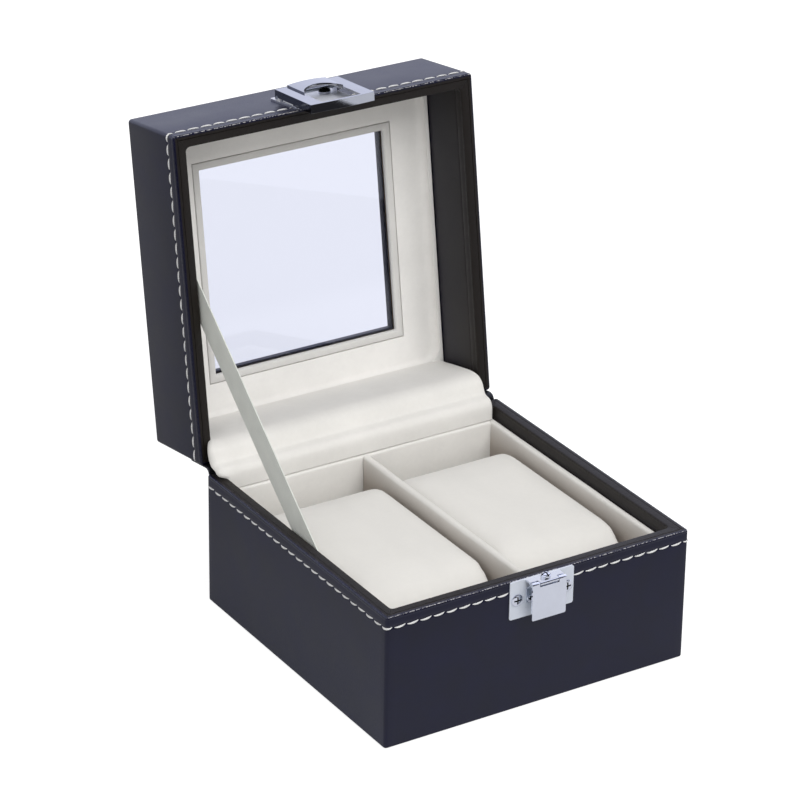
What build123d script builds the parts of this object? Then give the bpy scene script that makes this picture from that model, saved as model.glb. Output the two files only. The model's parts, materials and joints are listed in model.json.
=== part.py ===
from build123d import *
from math import cos, radians, sin
import os

# A two-place watch box of leather-covered board, shown with its lid open.
# Millimetres, +Z up. The origin is the centre of the bottom face, the front is -Y and the hinge is at +Y.
# Lid pieces are drawn closed over the base and then turned open about the hinge.

# The box
WIDTH = 114.0
DEPTH = 112.0
BASE_HEIGHT = 47.0
LID_HEIGHT = 30.7
RIM_GAP = 0.3
LID_OPEN = 98.4
BOARD = 3.0
LEATHER = 0.8
CORNER = 1.2
RIM_ROUND = 0.7
ROUND_SHARE = 0.95
EASE_SHARE = 0.45
BASE_TURN_IN = 12.0
BOTTOM_TURN_IN = 12.0
BOTTOM_SHEET = 0.4
BOTTOM_SHEET_INSET = 2.0
FIT = 0.3
PLAY = 0.05
PAST = 0.1
LEVEL = 0.01

# The hinge at the back, a leather strip outside and a padded velvet strip inside
HINGE_BEHIND = 2.4
HINGE_BELOW_RIM = 0.9
STRIP_INSET = 1.0
STRIP_BEND = 2.0
STRIP_ON_BASE = 9.0
STRIP_ON_LID = 9.0
VELVET = 1.6
VELVET_INSET = 0.6
VELVET_ARCH = 5.0
VELVET_TURN = 3.5

# The ribbon that stays the lid
RIBBON_WIDTH = 10.0
RIBBON_THICK = 0.4
RIBBON_REACH = 62.3
RIBBON_DEPTH = 5.4
RIBBON_TAIL = 9.0

# The tray and its cushions
TRAY_CARD = 2.2
TRAY_FLOOR = 1.5
TRAY_BELOW_RIM = 4.4
TRAY_ROUND = 0.8
DIVIDER = 2.4
CUSHION_LENGTH = 81.5
CUSHION_END = 16.6
CUSHION_SIDE_GAP = 2.0
CUSHION_BELOW_TRAY = 3.4
CUSHION_CROWN = 0.9
CUSHION_DRAW = 1.6
CUSHION_ROUND = 3.0
SHOULDER_CROWN = 0.85
SHOULDER_DRAW = 0.3
SHOULDER_IN = 0.35
CUSHION_BACKWARD = 2.5
CUSHION_CLEAR = 0.2

# The lid's window and lining
WINDOW = 71.0
WINDOW_LEATHER = 70.0
TOP_BOARD = 2.2
GLASS = 1.5
GLASS_LAP = 3.5
BEZEL_WIDTH = 2.6
BEZEL_GROOVE = 0.25
BEZEL_CHAMFER = 0.6
LINING = 1.8
LINING_RISE = 2.6
COVE_SHARE = 0.9
LINING_MARGIN = 1.4
LINING_CORNER = 6.0

# The catch on the base
METAL = 0.6
STRIKE_WIDTH = 24.1
STRIKE_HEIGHT = 13.4
STRIKE_BELOW_RIM = 0.1
STRIKE_CORNER = 0.8
TONGUE_WIDTH = 12.7
TONGUE_HEIGHT = 12.4
TONGUE_THICK = 0.7
TONGUE_STANDOFF = 4.2
TONGUE_PIN_R = 0.35
KNUCKLE_R = 0.75
KNUCKLE_WIDTH = 7.0
KNUCKLE_PLAY = 0.15
HEEL_REACH = 1.8
HEEL_THICK = 0.5
HEEL_BELOW_PIN = 0.1
HEEL_SIDE_GAP = 0.2
SPRING_THICK = 0.3
SPRING_FOOT = 3.0
SPRING_ARM = 2.4
SPRING_BEND = 1.0
SPRING_RISE = 1.6
SPRING_SHORT = 0.4
RIVET_SPACING = 9.4
RIVET_R = 1.2
RIVET_HEAD = 0.6
RIVET_BELOW_RIM = 7.0
STUD_R = 1.6
STUD_HEIGHT = 1.4
STUD_OUT = 2.45
STUD_STRAIGHT = 0.6
STUD_SHOULDER = 0.9
STUD_SHOULDER_R = 0.72
STUD_PEEN = 0.3
STUD_PEEN_WIDER = 0.15
SCREW_SPACING = 18.8
SCREW_BELOW_RIM = 6.7
SCREW_HEAD_R = 2.0
SCREW_HEAD = 0.7
SCREW_R = 0.9
SCREW_LENGTH = 3.5
SCREW_HOLE_DEEPER = 0.2
SLOT_WIDTH = 0.55
SLOT_REACH = 1.3
HEAD_CROWN = 0.45
HEAD_SHOULDER = 0.3
HEAD_SHOULDER_R = 0.6
TONGUE_CORNER = 0.6

# The hasp on the lid
HASP_PLATE_WIDTH = 21.6
HASP_PLATE_LOW = 1.6
HASP_PLATE_HEIGHT = 16.2
HASP_PLATE_THICK = 0.8
HASP_SCREW_SPACING = 11.2
HASP_SCREW_UP = 10.0
HASP_PIN_UP = 10.7
HASP_PIN_OUT = 2.5
HASP_PIN_R = 0.6
HASP_EAR_R = 1.5
HASP_PLAY = 0.4
HASP_EAR_DOWN = 2.5
FLAP_WIDTH = 24.1
FLAP_THICK = 0.8
FLAP_TILT = 2.7
FLAP_ABOVE_PIN = 2.55
FLAP_DOWN = 22.4
FLAP_UP = 1.2
FLAP_LIP = 3.0
FLAP_END_BOW = 0.4
HOOD_WIDTH = 14.6
HOOD_RISE = 0.55
HOOD_CROWN = 0.45
WINDOW_BAR = 1.1
ARCH_SPRING = 10.2
ARCH_TOP = 4.7

# What follows from them
SKIRT = LEATHER + BOARD + LEATHER
INSIDE_X = WIDTH / 2 - SKIRT
INSIDE_Y = DEPTH / 2 - SKIRT
LID_RIM = BASE_HEIGHT + RIM_GAP
LID_TOP = LID_RIM + LID_HEIGHT
FLOOR_LOW = BOTTOM_SHEET + LEATHER
FLOOR_TOP = FLOOR_LOW + BOARD
HINGE_Y = DEPTH / 2 + HINGE_BEHIND
HINGE_Z = BASE_HEIGHT - HINGE_BELOW_RIM
TRAY_X = INSIDE_X - FIT
TRAY_Y = INSIDE_Y - FIT
TRAY_LOW = FLOOR_TOP + TRAY_FLOOR
TRAY_TOP = BASE_HEIGHT - TRAY_BELOW_RIM
GLASS_TOP = LID_TOP - LEATHER - TOP_BOARD
GLASS_LOW = GLASS_TOP - GLASS
LINING_LOW = GLASS_LOW - LINING
LINING_EDGE = LINING_LOW - LINING_RISE


def slab(width, depth, low, high, radius=0.0):
    """An upright block on the Z axis, with rounded corners where a radius is given."""
    face = RectangleRounded(width, depth, radius) if radius > 0 else Rectangle(width, depth)
    return extrude(Pos(0, 0, low) * face, high - low)


def block(x, y, z):
    """A block between the given pairs of x, y and z."""
    size = [b - a for a, b in (x, y, z)]
    middle = [(a + b) / 2 for a, b in (x, y, z)]
    return Pos(*middle) * Box(*size)


def across(profile, half_width, middle=0.0):
    """A profile drawn in Y and Z, made a solid across X."""
    return Pos(middle, 0, 0) * extrude(Plane.YZ * profile, half_width, both=True)


def rod(radius, x0, x1, y, z):
    """A round rod along X."""
    return Pos((x0 + x1) / 2, y, z) * Rot(0, 90, 0) * Cylinder(radius, x1 - x0)


def stub(radius, out0, out1, x, z):
    """A round stub that stands out of the front face, between two distances from it."""
    return Pos(x, -DEPTH / 2 - (out0 + out1) / 2, z) * Rot(90, 0, 0) * Cylinder(radius, out1 - out0)


def both_sides(shape):
    """A shape with its mirror image across the middle plane."""
    return shape + mirror(shape, Plane.YZ)


def opened(shape):
    """A lid piece turned from the closed lid to the open one."""
    return Pos(0, HINGE_Y, HINGE_Z) * Rot(-LID_OPEN, 0, 0) * Pos(0, -HINGE_Y, -HINGE_Z) * shape


def open_point(y, z):
    """Where a point of the closed lid goes when the lid is open."""
    turn = radians(LID_OPEN)
    back, up = y - HINGE_Y, z - HINGE_Z
    return HINGE_Y + back * cos(turn) + up * sin(turn), HINGE_Z - back * sin(turn) + up * cos(turn)


def round_level(solid, level):
    """Rounds every edge that lies flat at a level, by no more than the leather is thick."""
    near = [e for e in solid.edges() if abs(e.center().Z - level) < LEVEL]
    return fillet([e for e in near if e.bounding_box().size.Z < LEVEL], min(RIM_ROUND, LEATHER * ROUND_SHARE))


def cross_head(radius, height, out, x, z):
    """A domed screw or rivet head with a cross recess, on the front face."""
    rise = height * HEAD_CROWN
    side = Polyline((0, 0), (radius, 0), (radius, height - rise))
    shoulder = (radius * HEAD_SHOULDER_R, height - rise * HEAD_SHOULDER)
    crown = ThreePointArc((radius, height - rise), shoulder, (0, height))
    head = revolve(Plane.XZ * make_face(side + crown + Line((0, height), (0, 0))), Axis.Z)
    reach = radius * SLOT_REACH
    for width, length in ((SLOT_WIDTH, reach), (reach, SLOT_WIDTH)):
        head -= Pos(0, 0, height - rise / 2) * Box(width, length, rise + LEVEL)
    return Pos(x, -DEPTH / 2 - out, z) * Rot(90, 0, 0) * head


def ring_boards(low, high):
    """The four wall boards between two levels: front and back the full width, the sides between them."""
    width, depth = WIDTH - 2 * LEATHER, DEPTH - 2 * LEATHER
    outer = slab(width, depth, low, high, CORNER - LEATHER)
    ring = outer - slab(width - 2 * BOARD, depth - 2 * BOARD, low, high)
    inner = depth / 2 - BOARD
    front = ring & block((-WIDTH, WIDTH), (-DEPTH, -inner), (low, high))
    back = ring & block((-WIDTH, WIDTH), (inner, DEPTH), (low, high))
    left = ring & block((-WIDTH, 0), (-inner, inner), (low, high))
    right = ring & block((0, WIDTH), (-inner, inner), (low, high))
    return front, back, left, right


def screw_holes(spacing, z, out):
    """The pilot holes of a pair of screws."""
    deep = -SCREW_LENGTH - SCREW_HOLE_DEEPER
    return both_sides(stub(SCREW_R + PLAY, deep, out, spacing / 2, z))


def screw_pair(spacing, z, out):
    """A pair of cross-head screws seated on a plate."""
    one = stub(SCREW_R, -SCREW_LENGTH, out, spacing / 2, z)
    one += cross_head(SCREW_HEAD_R, SCREW_HEAD, out, spacing / 2, z)
    return both_sides(one)


def base_case():
    """The base: boards, leather turned over the rim and under the bottom, and the sheet below."""
    low, high = FLOOR_LOW, BASE_HEIGHT - LEATHER
    holes = screw_holes(SCREW_SPACING, BASE_HEIGHT - SCREW_BELOW_RIM, METAL + PAST)
    front, back, left, right = ring_boards(low, high)
    hollow_x, hollow_y = WIDTH / 2 - LEATHER - BOARD, DEPTH / 2 - LEATHER - BOARD
    floor = slab(2 * hollow_x, 2 * hollow_y, low, FLOOR_TOP)

    wrap = slab(WIDTH, DEPTH, BOTTOM_SHEET, BASE_HEIGHT, CORNER)
    inner_low = BASE_HEIGHT - BASE_TURN_IN
    wrap -= slab(WIDTH - 2 * LEATHER, DEPTH - 2 * LEATHER, low, inner_low, CORNER - LEATHER)
    board_slot = slab(WIDTH - 2 * LEATHER, DEPTH - 2 * LEATHER, inner_low, high, CORNER - LEATHER)
    wrap -= board_slot - slab(2 * hollow_x, 2 * hollow_y, inner_low, high)
    wrap -= slab(2 * INSIDE_X, 2 * INSIDE_Y, inner_low, BASE_HEIGHT)
    wrap -= slab(WIDTH - 2 * BOTTOM_TURN_IN, DEPTH - 2 * BOTTOM_TURN_IN, BOTTOM_SHEET, low)
    wrap = round_level(wrap, BASE_HEIGHT)
    sheet_x, sheet_y = WIDTH - 2 * BOTTOM_SHEET_INSET, DEPTH - 2 * BOTTOM_SHEET_INSET
    return {
        "base_front_board": front - holes,
        "base_back_board": back,
        "base_left_board": left,
        "base_right_board": right,
        "base_floor_board": floor,
        "base_leather_wrap": wrap - holes,
        "base_bottom_sheet": slab(sheet_x, sheet_y, 0, BOTTOM_SHEET, CORNER),
    }


def tray():
    """The velvet-covered card tray and its divider."""
    inner_x, inner_y = TRAY_X - TRAY_CARD, TRAY_Y - TRAY_CARD
    ease = min(TRAY_ROUND, TRAY_CARD * EASE_SHARE, DIVIDER * EASE_SHARE)

    def eased(wall):
        return fillet(wall.faces().sort_by(Axis.Z)[-1].edges().filter_by(
            lambda e: e.length > 4 * TRAY_CARD), ease)

    front = eased(block((-inner_x, inner_x), (-TRAY_Y, -inner_y), (TRAY_LOW, TRAY_TOP)))
    back = eased(block((-inner_x, inner_x), (inner_y, TRAY_Y), (TRAY_LOW, TRAY_TOP)))
    right = eased(block((inner_x, TRAY_X), (-TRAY_Y, TRAY_Y), (TRAY_LOW, TRAY_TOP)))
    left = mirror(right, Plane.YZ)
    ribbon_y = HINGE_Y - RIBBON_REACH - RIBBON_TAIL
    notch = RIBBON_THICK + FIT
    ribbon_low = BASE_HEIGHT - RIBBON_DEPTH - RIBBON_TAIL - RIBBON_WIDTH
    left -= block((-TRAY_X, -TRAY_X + notch), (ribbon_y - RIBBON_WIDTH, ribbon_y + 4 * RIBBON_WIDTH),
                  (ribbon_low, TRAY_TOP + PAST))
    divider = eased(block((-DIVIDER / 2, DIVIDER / 2), (-inner_y, inner_y), (TRAY_LOW, TRAY_TOP)))
    return {
        "tray_floor": slab(2 * TRAY_X, 2 * TRAY_Y, FLOOR_TOP, TRAY_LOW),
        "tray_front_wall": front,
        "tray_back_wall": back,
        "tray_left_wall": left,
        "tray_right_wall": right,
        "tray_divider": divider,
    }


def cushion():
    """The right cushion: round-ended, crowned across its width and drawn in at both side faces."""
    low, high = TRAY_LOW + FIT, TRAY_TOP - CUSHION_BELOW_TRAY
    place_low, place_high = DIVIDER / 2 + CUSHION_SIDE_GAP, TRAY_X - TRAY_CARD - CUSHION_SIDE_GAP
    half = (place_high - place_low) / 2
    height = high + CUSHION_CROWN - low

    def section(x, inset):
        end = min(CUSHION_END, height / 2 - CUSHION_CLEAR) - inset
        face = RectangleRounded(CUSHION_LENGTH - 2 * inset, height - 2 * inset, end)
        centre = ((place_low + place_high) / 2 + x, CUSHION_BACKWARD, low + height / 2)
        return Plane(origin=centre, x_dir=(0, 1, 0), z_dir=(1, 0, 0)) * face

    soft = min(CUSHION_ROUND, half / 2)
    steps = [
        (-half, CUSHION_CROWN + CUSHION_DRAW),
        (-half + soft * SHOULDER_IN, CUSHION_CROWN + CUSHION_DRAW * SHOULDER_DRAW),
        (-half + soft, CUSHION_CROWN * SHOULDER_CROWN),
        (0, 0),
        (half - soft, CUSHION_CROWN * SHOULDER_CROWN),
        (half - soft * SHOULDER_IN, CUSHION_CROWN + CUSHION_DRAW * SHOULDER_DRAW),
        (half, CUSHION_CROWN + CUSHION_DRAW),
    ]
    return loft([section(x, inset) for x, inset in steps])


def lid_case():
    """The lid: wall boards, the window board, leather outside and turned in, drawn closed."""
    low, high = LID_RIM + LEATHER, LID_TOP - LEATHER
    hole_z = LID_RIM + HASP_SCREW_UP
    holes = screw_holes(HASP_SCREW_SPACING, hole_z, HASP_PLATE_THICK + PAST)
    front, back, left, right = ring_boards(low, high)
    hollow_x, hollow_y = WIDTH / 2 - LEATHER - BOARD, DEPTH / 2 - LEATHER - BOARD
    board_hole = WINDOW_LEATHER + 2 * LEATHER
    top = slab(2 * hollow_x, 2 * hollow_y, GLASS_TOP, high) - slab(board_hole, board_hole, GLASS_TOP, high)

    wrap = slab(WIDTH, DEPTH, LID_RIM, LID_TOP, CORNER)
    board_slot = slab(WIDTH - 2 * LEATHER, DEPTH - 2 * LEATHER, low, high, CORNER - LEATHER)
    board_slot -= slab(2 * hollow_x, 2 * hollow_y, low, GLASS_TOP)
    board_slot -= slab(board_hole, board_hole, GLASS_TOP, high)
    wrap -= board_slot
    wrap -= slab(2 * INSIDE_X, 2 * INSIDE_Y, LID_RIM, GLASS_TOP)
    wrap -= slab(WINDOW_LEATHER, WINDOW_LEATHER, GLASS_TOP, LID_TOP)
    wrap = round_level(round_level(wrap, LID_TOP), LID_RIM)
    return {
        "lid_front_board": front - holes,
        "lid_back_board": back,
        "lid_left_board": left,
        "lid_right_board": right,
        "lid_window_board": top,
        "lid_leather_wrap": wrap - holes,
    }


def lid_window():
    """The glass, the bezel round it and the coved velvet lining, drawn closed."""
    glass_side = WINDOW + 2 * GLASS_LAP
    bezel_side = WINDOW + 2 * BEZEL_WIDTH
    lining_hole = bezel_side + 2 * BEZEL_GROOVE
    bezel = slab(bezel_side, bezel_side, LINING_LOW, GLASS_LOW) - slab(WINDOW, WINDOW, LINING_LOW, GLASS_LOW)
    inner_edges = [e for e in bezel.edges() if abs(e.center().Z - LINING_LOW) < LEVEL
                   and max(abs(e.center().X), abs(e.center().Y)) < WINDOW / 2 + LEVEL]
    bezel = chamfer(inner_edges, min(BEZEL_CHAMFER, LINING * 0.4))

    lining = slab(2 * TRAY_X, 2 * TRAY_Y, LINING_EDGE, GLASS_LOW)
    pocket_x, pocket_y = 2 * (TRAY_X - LINING_MARGIN), 2 * (TRAY_Y - LINING_MARGIN)
    pocket = slab(pocket_x, pocket_y, LINING_EDGE, LINING_LOW, LINING_CORNER)
    cove = fillet(pocket.faces().sort_by(Axis.Z)[-1].edges(), LINING_RISE * COVE_SHARE)
    lining -= cove
    lining -= slab(lining_hole, lining_hole, LINING_EDGE, GLASS_LOW)
    return {
        "window_glass": slab(glass_side, glass_side, GLASS_LOW, GLASS_TOP),
        "window_bezel": bezel,
        "lid_lining": lining,
    }


def hinge_and_stay():
    """The leather strip, the velvet strip and the ribbon, as they lie with the lid open."""
    out = DEPTH / 2 + LEATHER / 2
    lid_start = open_point(out, LID_RIM)
    lid_end = open_point(out, LID_RIM + STRIP_ON_LID)
    slope = (lid_end[1] - lid_start[1]) / (lid_end[0] - lid_start[0])
    corner = (out, lid_start[1] - slope * (lid_start[0] - out))
    path = FilletPolyline((out, BASE_HEIGHT - STRIP_ON_BASE), corner, lid_end, radius=STRIP_BEND)
    strip = across(trace(path, LEATHER), WIDTH / 2 - STRIP_INSET)

    face = INSIDE_Y - FIT - VELVET / 2
    far = open_point(face, LINING_EDGE - FIT)
    lip = open_point(face, LID_RIM - VELVET / 2)
    turn = (face, BASE_HEIGHT + VELVET)
    foot = (face, TRAY_TOP + FIT)
    path = FilletPolyline(far, lip, turn, foot, radius=[VELVET_ARCH, VELVET_TURN])
    velvet = across(trace(path, VELVET), INSIDE_X - VELVET_INSET)

    base_end = (HINGE_Y - RIBBON_REACH, BASE_HEIGHT - RIBBON_DEPTH)
    lid_tie = open_point(HINGE_Y - RIBBON_REACH, LID_RIM + RIBBON_DEPTH)
    run = Vector(lid_tie[0] - base_end[0], lid_tie[1] - base_end[1]).normalized()
    tail = run * RIBBON_TAIL
    start = (base_end[0] - tail.X, base_end[1] - tail.Y)
    end = (lid_tie[0] + tail.X / 4, lid_tie[1] + tail.Y / 4)
    x = -(INSIDE_X - FIT - RIBBON_THICK / 2)
    ribbon = across(trace(Line(start, end), RIBBON_WIDTH), RIBBON_THICK / 2, x)
    return {"hinge_leather_strip": strip, "hinge_velvet_strip": velvet, "stay_ribbon": ribbon}


def strike_catch():
    """The catch on the base: shelved plate, sprung tongue and pin, leaf spring, rivets, stud and screws."""
    face = -DEPTH / 2
    top = BASE_HEIGHT - STRIKE_BELOW_RIM
    low = top - STRIKE_HEIGHT
    pin_y, pin_z = face - TONGUE_STANDOFF, top - KNUCKLE_R
    half = TONGUE_WIDTH / 2
    knuckle = KNUCKLE_WIDTH / 2
    rivet_z = BASE_HEIGHT - RIVET_BELOW_RIM
    screw_z = BASE_HEIGHT - SCREW_BELOW_RIM
    rivet_x = RIVET_SPACING / 2

    plate = Pos(0, face, (low + top) / 2) * Rot(90, 0, 0) * extrude(
        RectangleRounded(STRIKE_WIDTH, STRIKE_HEIGHT, STRIKE_CORNER), METAL)
    shelf = block((-half, half), (pin_y + KNUCKLE_R + KNUCKLE_PLAY, face), (top - METAL, top))
    shelf += block((-knuckle, knuckle), (pin_y, face - METAL), (top - METAL, top))
    shelf += rod(KNUCKLE_R, -knuckle, knuckle, pin_y, pin_z)
    plate += shelf
    plate -= rod(TONGUE_PIN_R + PLAY, -half, half, pin_y, pin_z)
    plate -= screw_holes(SCREW_SPACING, screw_z, METAL + PAST)
    plate -= both_sides(stub(RIVET_R / 2, -PAST, METAL + PAST, rivet_x, rivet_z))
    stud_y = face - STUD_OUT
    plate -= Pos(0, stud_y, top - METAL / 2) * Cylinder(STUD_R / 2, METAL + 2 * PAST)

    tongue_low = pin_z + KNUCKLE_R - TONGUE_HEIGHT
    tongue = block((-half, half), (pin_y - TONGUE_THICK, pin_y), (tongue_low, pin_z))
    tongue += rod(KNUCKLE_R, -half, half, pin_y, pin_z)
    gap = knuckle + KNUCKLE_PLAY
    tongue -= block((-gap, gap), (pin_y - TONGUE_STANDOFF, pin_y + TONGUE_STANDOFF),
                    (pin_z - KNUCKLE_R - KNUCKLE_PLAY, top + PAST))
    heel_top = pin_z - HEEL_BELOW_PIN
    heel = block((gap + HEEL_SIDE_GAP, half - HEEL_SIDE_GAP), (pin_y - PAST, pin_y + HEEL_REACH),
                 (heel_top - HEEL_THICK, heel_top))
    tongue += both_sides(heel)
    tongue -= rod(TONGUE_PIN_R + PLAY, -half - PAST, half + PAST, pin_y, pin_z)
    upright = tongue.edges().filter_by(Axis.Y)
    tongue = fillet([e for e in upright if abs(e.center().Z - tongue_low) < LEVEL], TONGUE_CORNER)

    spring_face = face - METAL
    foot_half = rivet_x + SPRING_ARM / 2
    foot = block((-foot_half, foot_half), (spring_face - SPRING_THICK, spring_face),
                 (rivet_z - SPRING_FOOT / 2, rivet_z + SPRING_FOOT / 2))
    mid = spring_face - SPRING_THICK / 2
    tip = (pin_y + HEEL_REACH - SPRING_SHORT, heel_top - HEEL_THICK - SPRING_THICK)
    bend = (mid, tip[1] - SPRING_RISE)
    arm_path = FilletPolyline((mid, rivet_z), bend, tip, radius=SPRING_BEND)
    arm = across(trace(arm_path, SPRING_THICK), SPRING_ARM / 2, rivet_x)
    spring = foot + both_sides(arm)
    spring -= both_sides(stub(RIVET_R / 2, METAL - PAST, METAL + SPRING_THICK + PAST, rivet_x, rivet_z))

    rivet_out = METAL + SPRING_THICK
    rivet = stub(RIVET_R / 2, 0, rivet_out, rivet_x, rivet_z)
    rivet += cross_head(RIVET_R, RIVET_HEAD, rivet_out, rivet_x, rivet_z)

    rim = (STUD_R, STUD_HEIGHT * STUD_STRAIGHT)
    shoulder = (STUD_R * STUD_SHOULDER_R, STUD_HEIGHT * STUD_SHOULDER)
    stud_side = Polyline((0, 0), (STUD_R, 0), rim) + ThreePointArc(rim, shoulder, (0, STUD_HEIGHT))
    stud = revolve(Plane.XZ * make_face(stud_side + Line((0, STUD_HEIGHT), (0, 0))), Axis.Z)
    slot = Pos(0, 0, STUD_HEIGHT) * Box(SLOT_WIDTH, 2 * STUD_R, STUD_HEIGHT * STUD_SHOULDER)
    stud -= slot
    stud -= Rot(0, 0, 90) * slot
    stud = Pos(0, stud_y, top) * stud
    stud += Pos(0, stud_y, top - METAL / 2) * Cylinder(STUD_R / 2, METAL)
    stud += Pos(0, stud_y, top - METAL - STUD_PEEN / 2) * Cylinder(STUD_R / 2 + STUD_PEEN_WIDER, STUD_PEEN)
    return {
        "strike_plate": plate,
        "catch_tongue": tongue,
        "catch_spring": spring,
        "catch_rivets": both_sides(rivet),
        "catch_stud": stud,
        "catch_pin": rod(TONGUE_PIN_R, -half, half, pin_y, pin_z),
        "strike_screws": screw_pair(SCREW_SPACING, screw_z, METAL),
    }


def arch_window(width, low, spring, top):
    """The outline of the flap's window: square at the free end, arched at the pivot end."""
    half = width / 2
    sides = Polyline((-half, -spring), (-half, -low), (half, -low), (half, -spring))
    return make_face(sides + ThreePointArc((half, -spring), (0, -top), (-half, -spring)))


def bowed_end(half, back, far):
    """The outline of the flap, set back by a distance from its bowed free end."""
    corner, tip = -FLAP_DOWN + FLAP_END_BOW + back, -FLAP_DOWN + back
    sides = Polyline((-half, corner), (-half, far), (half, far), (half, corner))
    return make_face(sides + ThreePointArc((half, corner), (0, tip), (-half, corner)))


def hood_profile(half, low, side, crown):
    """The cross section of the pressed hood, drawn in X and Z."""
    walls = Polyline((half, side), (half, low), (-half, low), (-half, side))
    return make_face(walls + ThreePointArc((-half, side), (0, side + crown), (half, side)))


def hasp():
    """The hasp on the lid: plate with ears, pin, screws, and the pressed flap, drawn closed."""
    face = -DEPTH / 2
    low = LID_RIM + HASP_PLATE_LOW
    pin_y, pin_z = face - HASP_PIN_OUT, LID_RIM + HASP_PIN_UP
    half = HASP_PLATE_WIDTH / 2
    plate = Pos(0, face, low + HASP_PLATE_HEIGHT / 2) * Rot(90, 0, 0) * extrude(
        RectangleRounded(HASP_PLATE_WIDTH, HASP_PLATE_HEIGHT, STRIKE_CORNER), HASP_PLATE_THICK)
    ear = block((half - HASP_PLATE_THICK, half), (pin_y, face - HASP_PLATE_THICK / 2),
                (pin_z - HASP_EAR_R, pin_z + HASP_EAR_R))
    ear += rod(HASP_EAR_R, half - HASP_PLATE_THICK, half, pin_y, pin_z)
    plate += both_sides(ear)
    plate -= rod(HASP_PIN_R + PLAY, -half - PAST, half + PAST, pin_y, pin_z)
    plate -= screw_holes(HASP_SCREW_SPACING, LID_RIM + HASP_SCREW_UP, HASP_PLATE_THICK + PAST)

    # The flap is drawn flat, with the pin as origin, the free end at -Y and the outside up, then stood up.
    wide = FLAP_WIDTH / 2
    skin_low = FLAP_ABOVE_PIN - FLAP_THICK
    outline = bowed_end(wide, 0, FLAP_UP)
    flap = extrude(Pos(0, 0, skin_low) * outline, FLAP_THICK)
    lip = outline - bowed_end(wide + PAST, FLAP_THICK, FLAP_UP + PAST)
    flap += extrude(Pos(0, 0, FLAP_ABOVE_PIN - FLAP_LIP) * lip, FLAP_LIP - FLAP_THICK / 2)
    hood_half = HOOD_WIDTH / 2
    top = FLAP_ABOVE_PIN
    hood = Plane.XZ * hood_profile(hood_half, top - FLAP_THICK / 2, top + HOOD_RISE, HOOD_CROWN)
    flap += Pos(0, FLAP_UP, 0) * extrude(hood, ARCH_SPRING + FLAP_UP)
    under_half = hood_half - FLAP_THICK
    under = Plane.XZ * hood_profile(under_half, skin_low - LEVEL, skin_low + HOOD_RISE, HOOD_CROWN)
    flap -= Pos(0, FLAP_UP - FLAP_THICK, 0) * extrude(under, ARCH_SPRING + FLAP_UP)
    opening = arch_window(HOOD_WIDTH, FLAP_DOWN - WINDOW_BAR, ARCH_SPRING, ARCH_TOP)
    flap -= extrude(Pos(0, 0, skin_low - PAST) * opening, FLAP_THICK + HOOD_RISE + HOOD_CROWN + 2 * PAST)

    ear_in, eye = half + HASP_PLAY, min(HASP_EAR_R, FLAP_UP)
    flap_ear = block((ear_in, wide), (-HASP_EAR_R - HASP_EAR_DOWN, FLAP_UP), (0, top - FLAP_THICK / 2))
    flap_ear += rod(eye, ear_in, wide, 0, 0)
    flap_ear += block((ear_in, wide), (-HASP_EAR_R, 0), (-eye, 0))
    flap += both_sides(flap_ear)
    flap -= rod(HASP_PIN_R + PLAY, -wide - PAST, wide + PAST, 0, 0)
    stood = Pos(0, pin_y, pin_z) * Rot(90 + FLAP_TILT, 0, 0) * flap
    return {
        "hasp_plate": plate,
        "hasp_pin": rod(HASP_PIN_R, -wide, wide, pin_y, pin_z),
        "hasp_screws": screw_pair(HASP_SCREW_SPACING, LID_RIM + HASP_SCREW_UP, HASP_PLATE_THICK),
        "hasp_flap": stood,
    }


nodes = {}
nodes.update(base_case())
nodes.update(tray())
nodes["cushion_right"] = cushion()
nodes["cushion_left"] = mirror(nodes["cushion_right"], Plane.YZ)
nodes.update(strike_catch())
nodes.update(hinge_and_stay())
for name, shape in {**lid_case(), **lid_window(), **hasp()}.items():
    nodes[name] = opened(shape)

os.makedirs("parts", exist_ok=True)
for name, shape in nodes.items():
    export_step(Compound(children=shape.solids()), f"parts/{name}.step")

pin = open_point(-DEPTH / 2 - HASP_PIN_OUT, LID_RIM + HASP_PIN_UP)
print("hinge axis y, z:", round(HINGE_Y, 3), round(HINGE_Z, 3))
print("hasp pin y, z:", round(pin[0], 3), round(pin[1], 3))
print("tongue pin y, z:", -DEPTH / 2 - TONGUE_STANDOFF, BASE_HEIGHT - STRIKE_BELOW_RIM - KNUCKLE_R)
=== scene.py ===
"""Dresses a two-place watch box: leatherette, stitching, velvet, cushions, ribbon, glass and chrome.

Everything is in metres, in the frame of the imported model. Lid pieces are drawn closed and then
turned open about the hinge, as the model's own pieces are.
"""

from __future__ import annotations

import json
import logging
import math
import random
from contextlib import contextmanager
from dataclasses import dataclass, field
from enum import Enum
from typing import Any, Callable, Iterator, Sequence

import bmesh
import bpy
from mathutils import Matrix, Vector, noise

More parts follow.
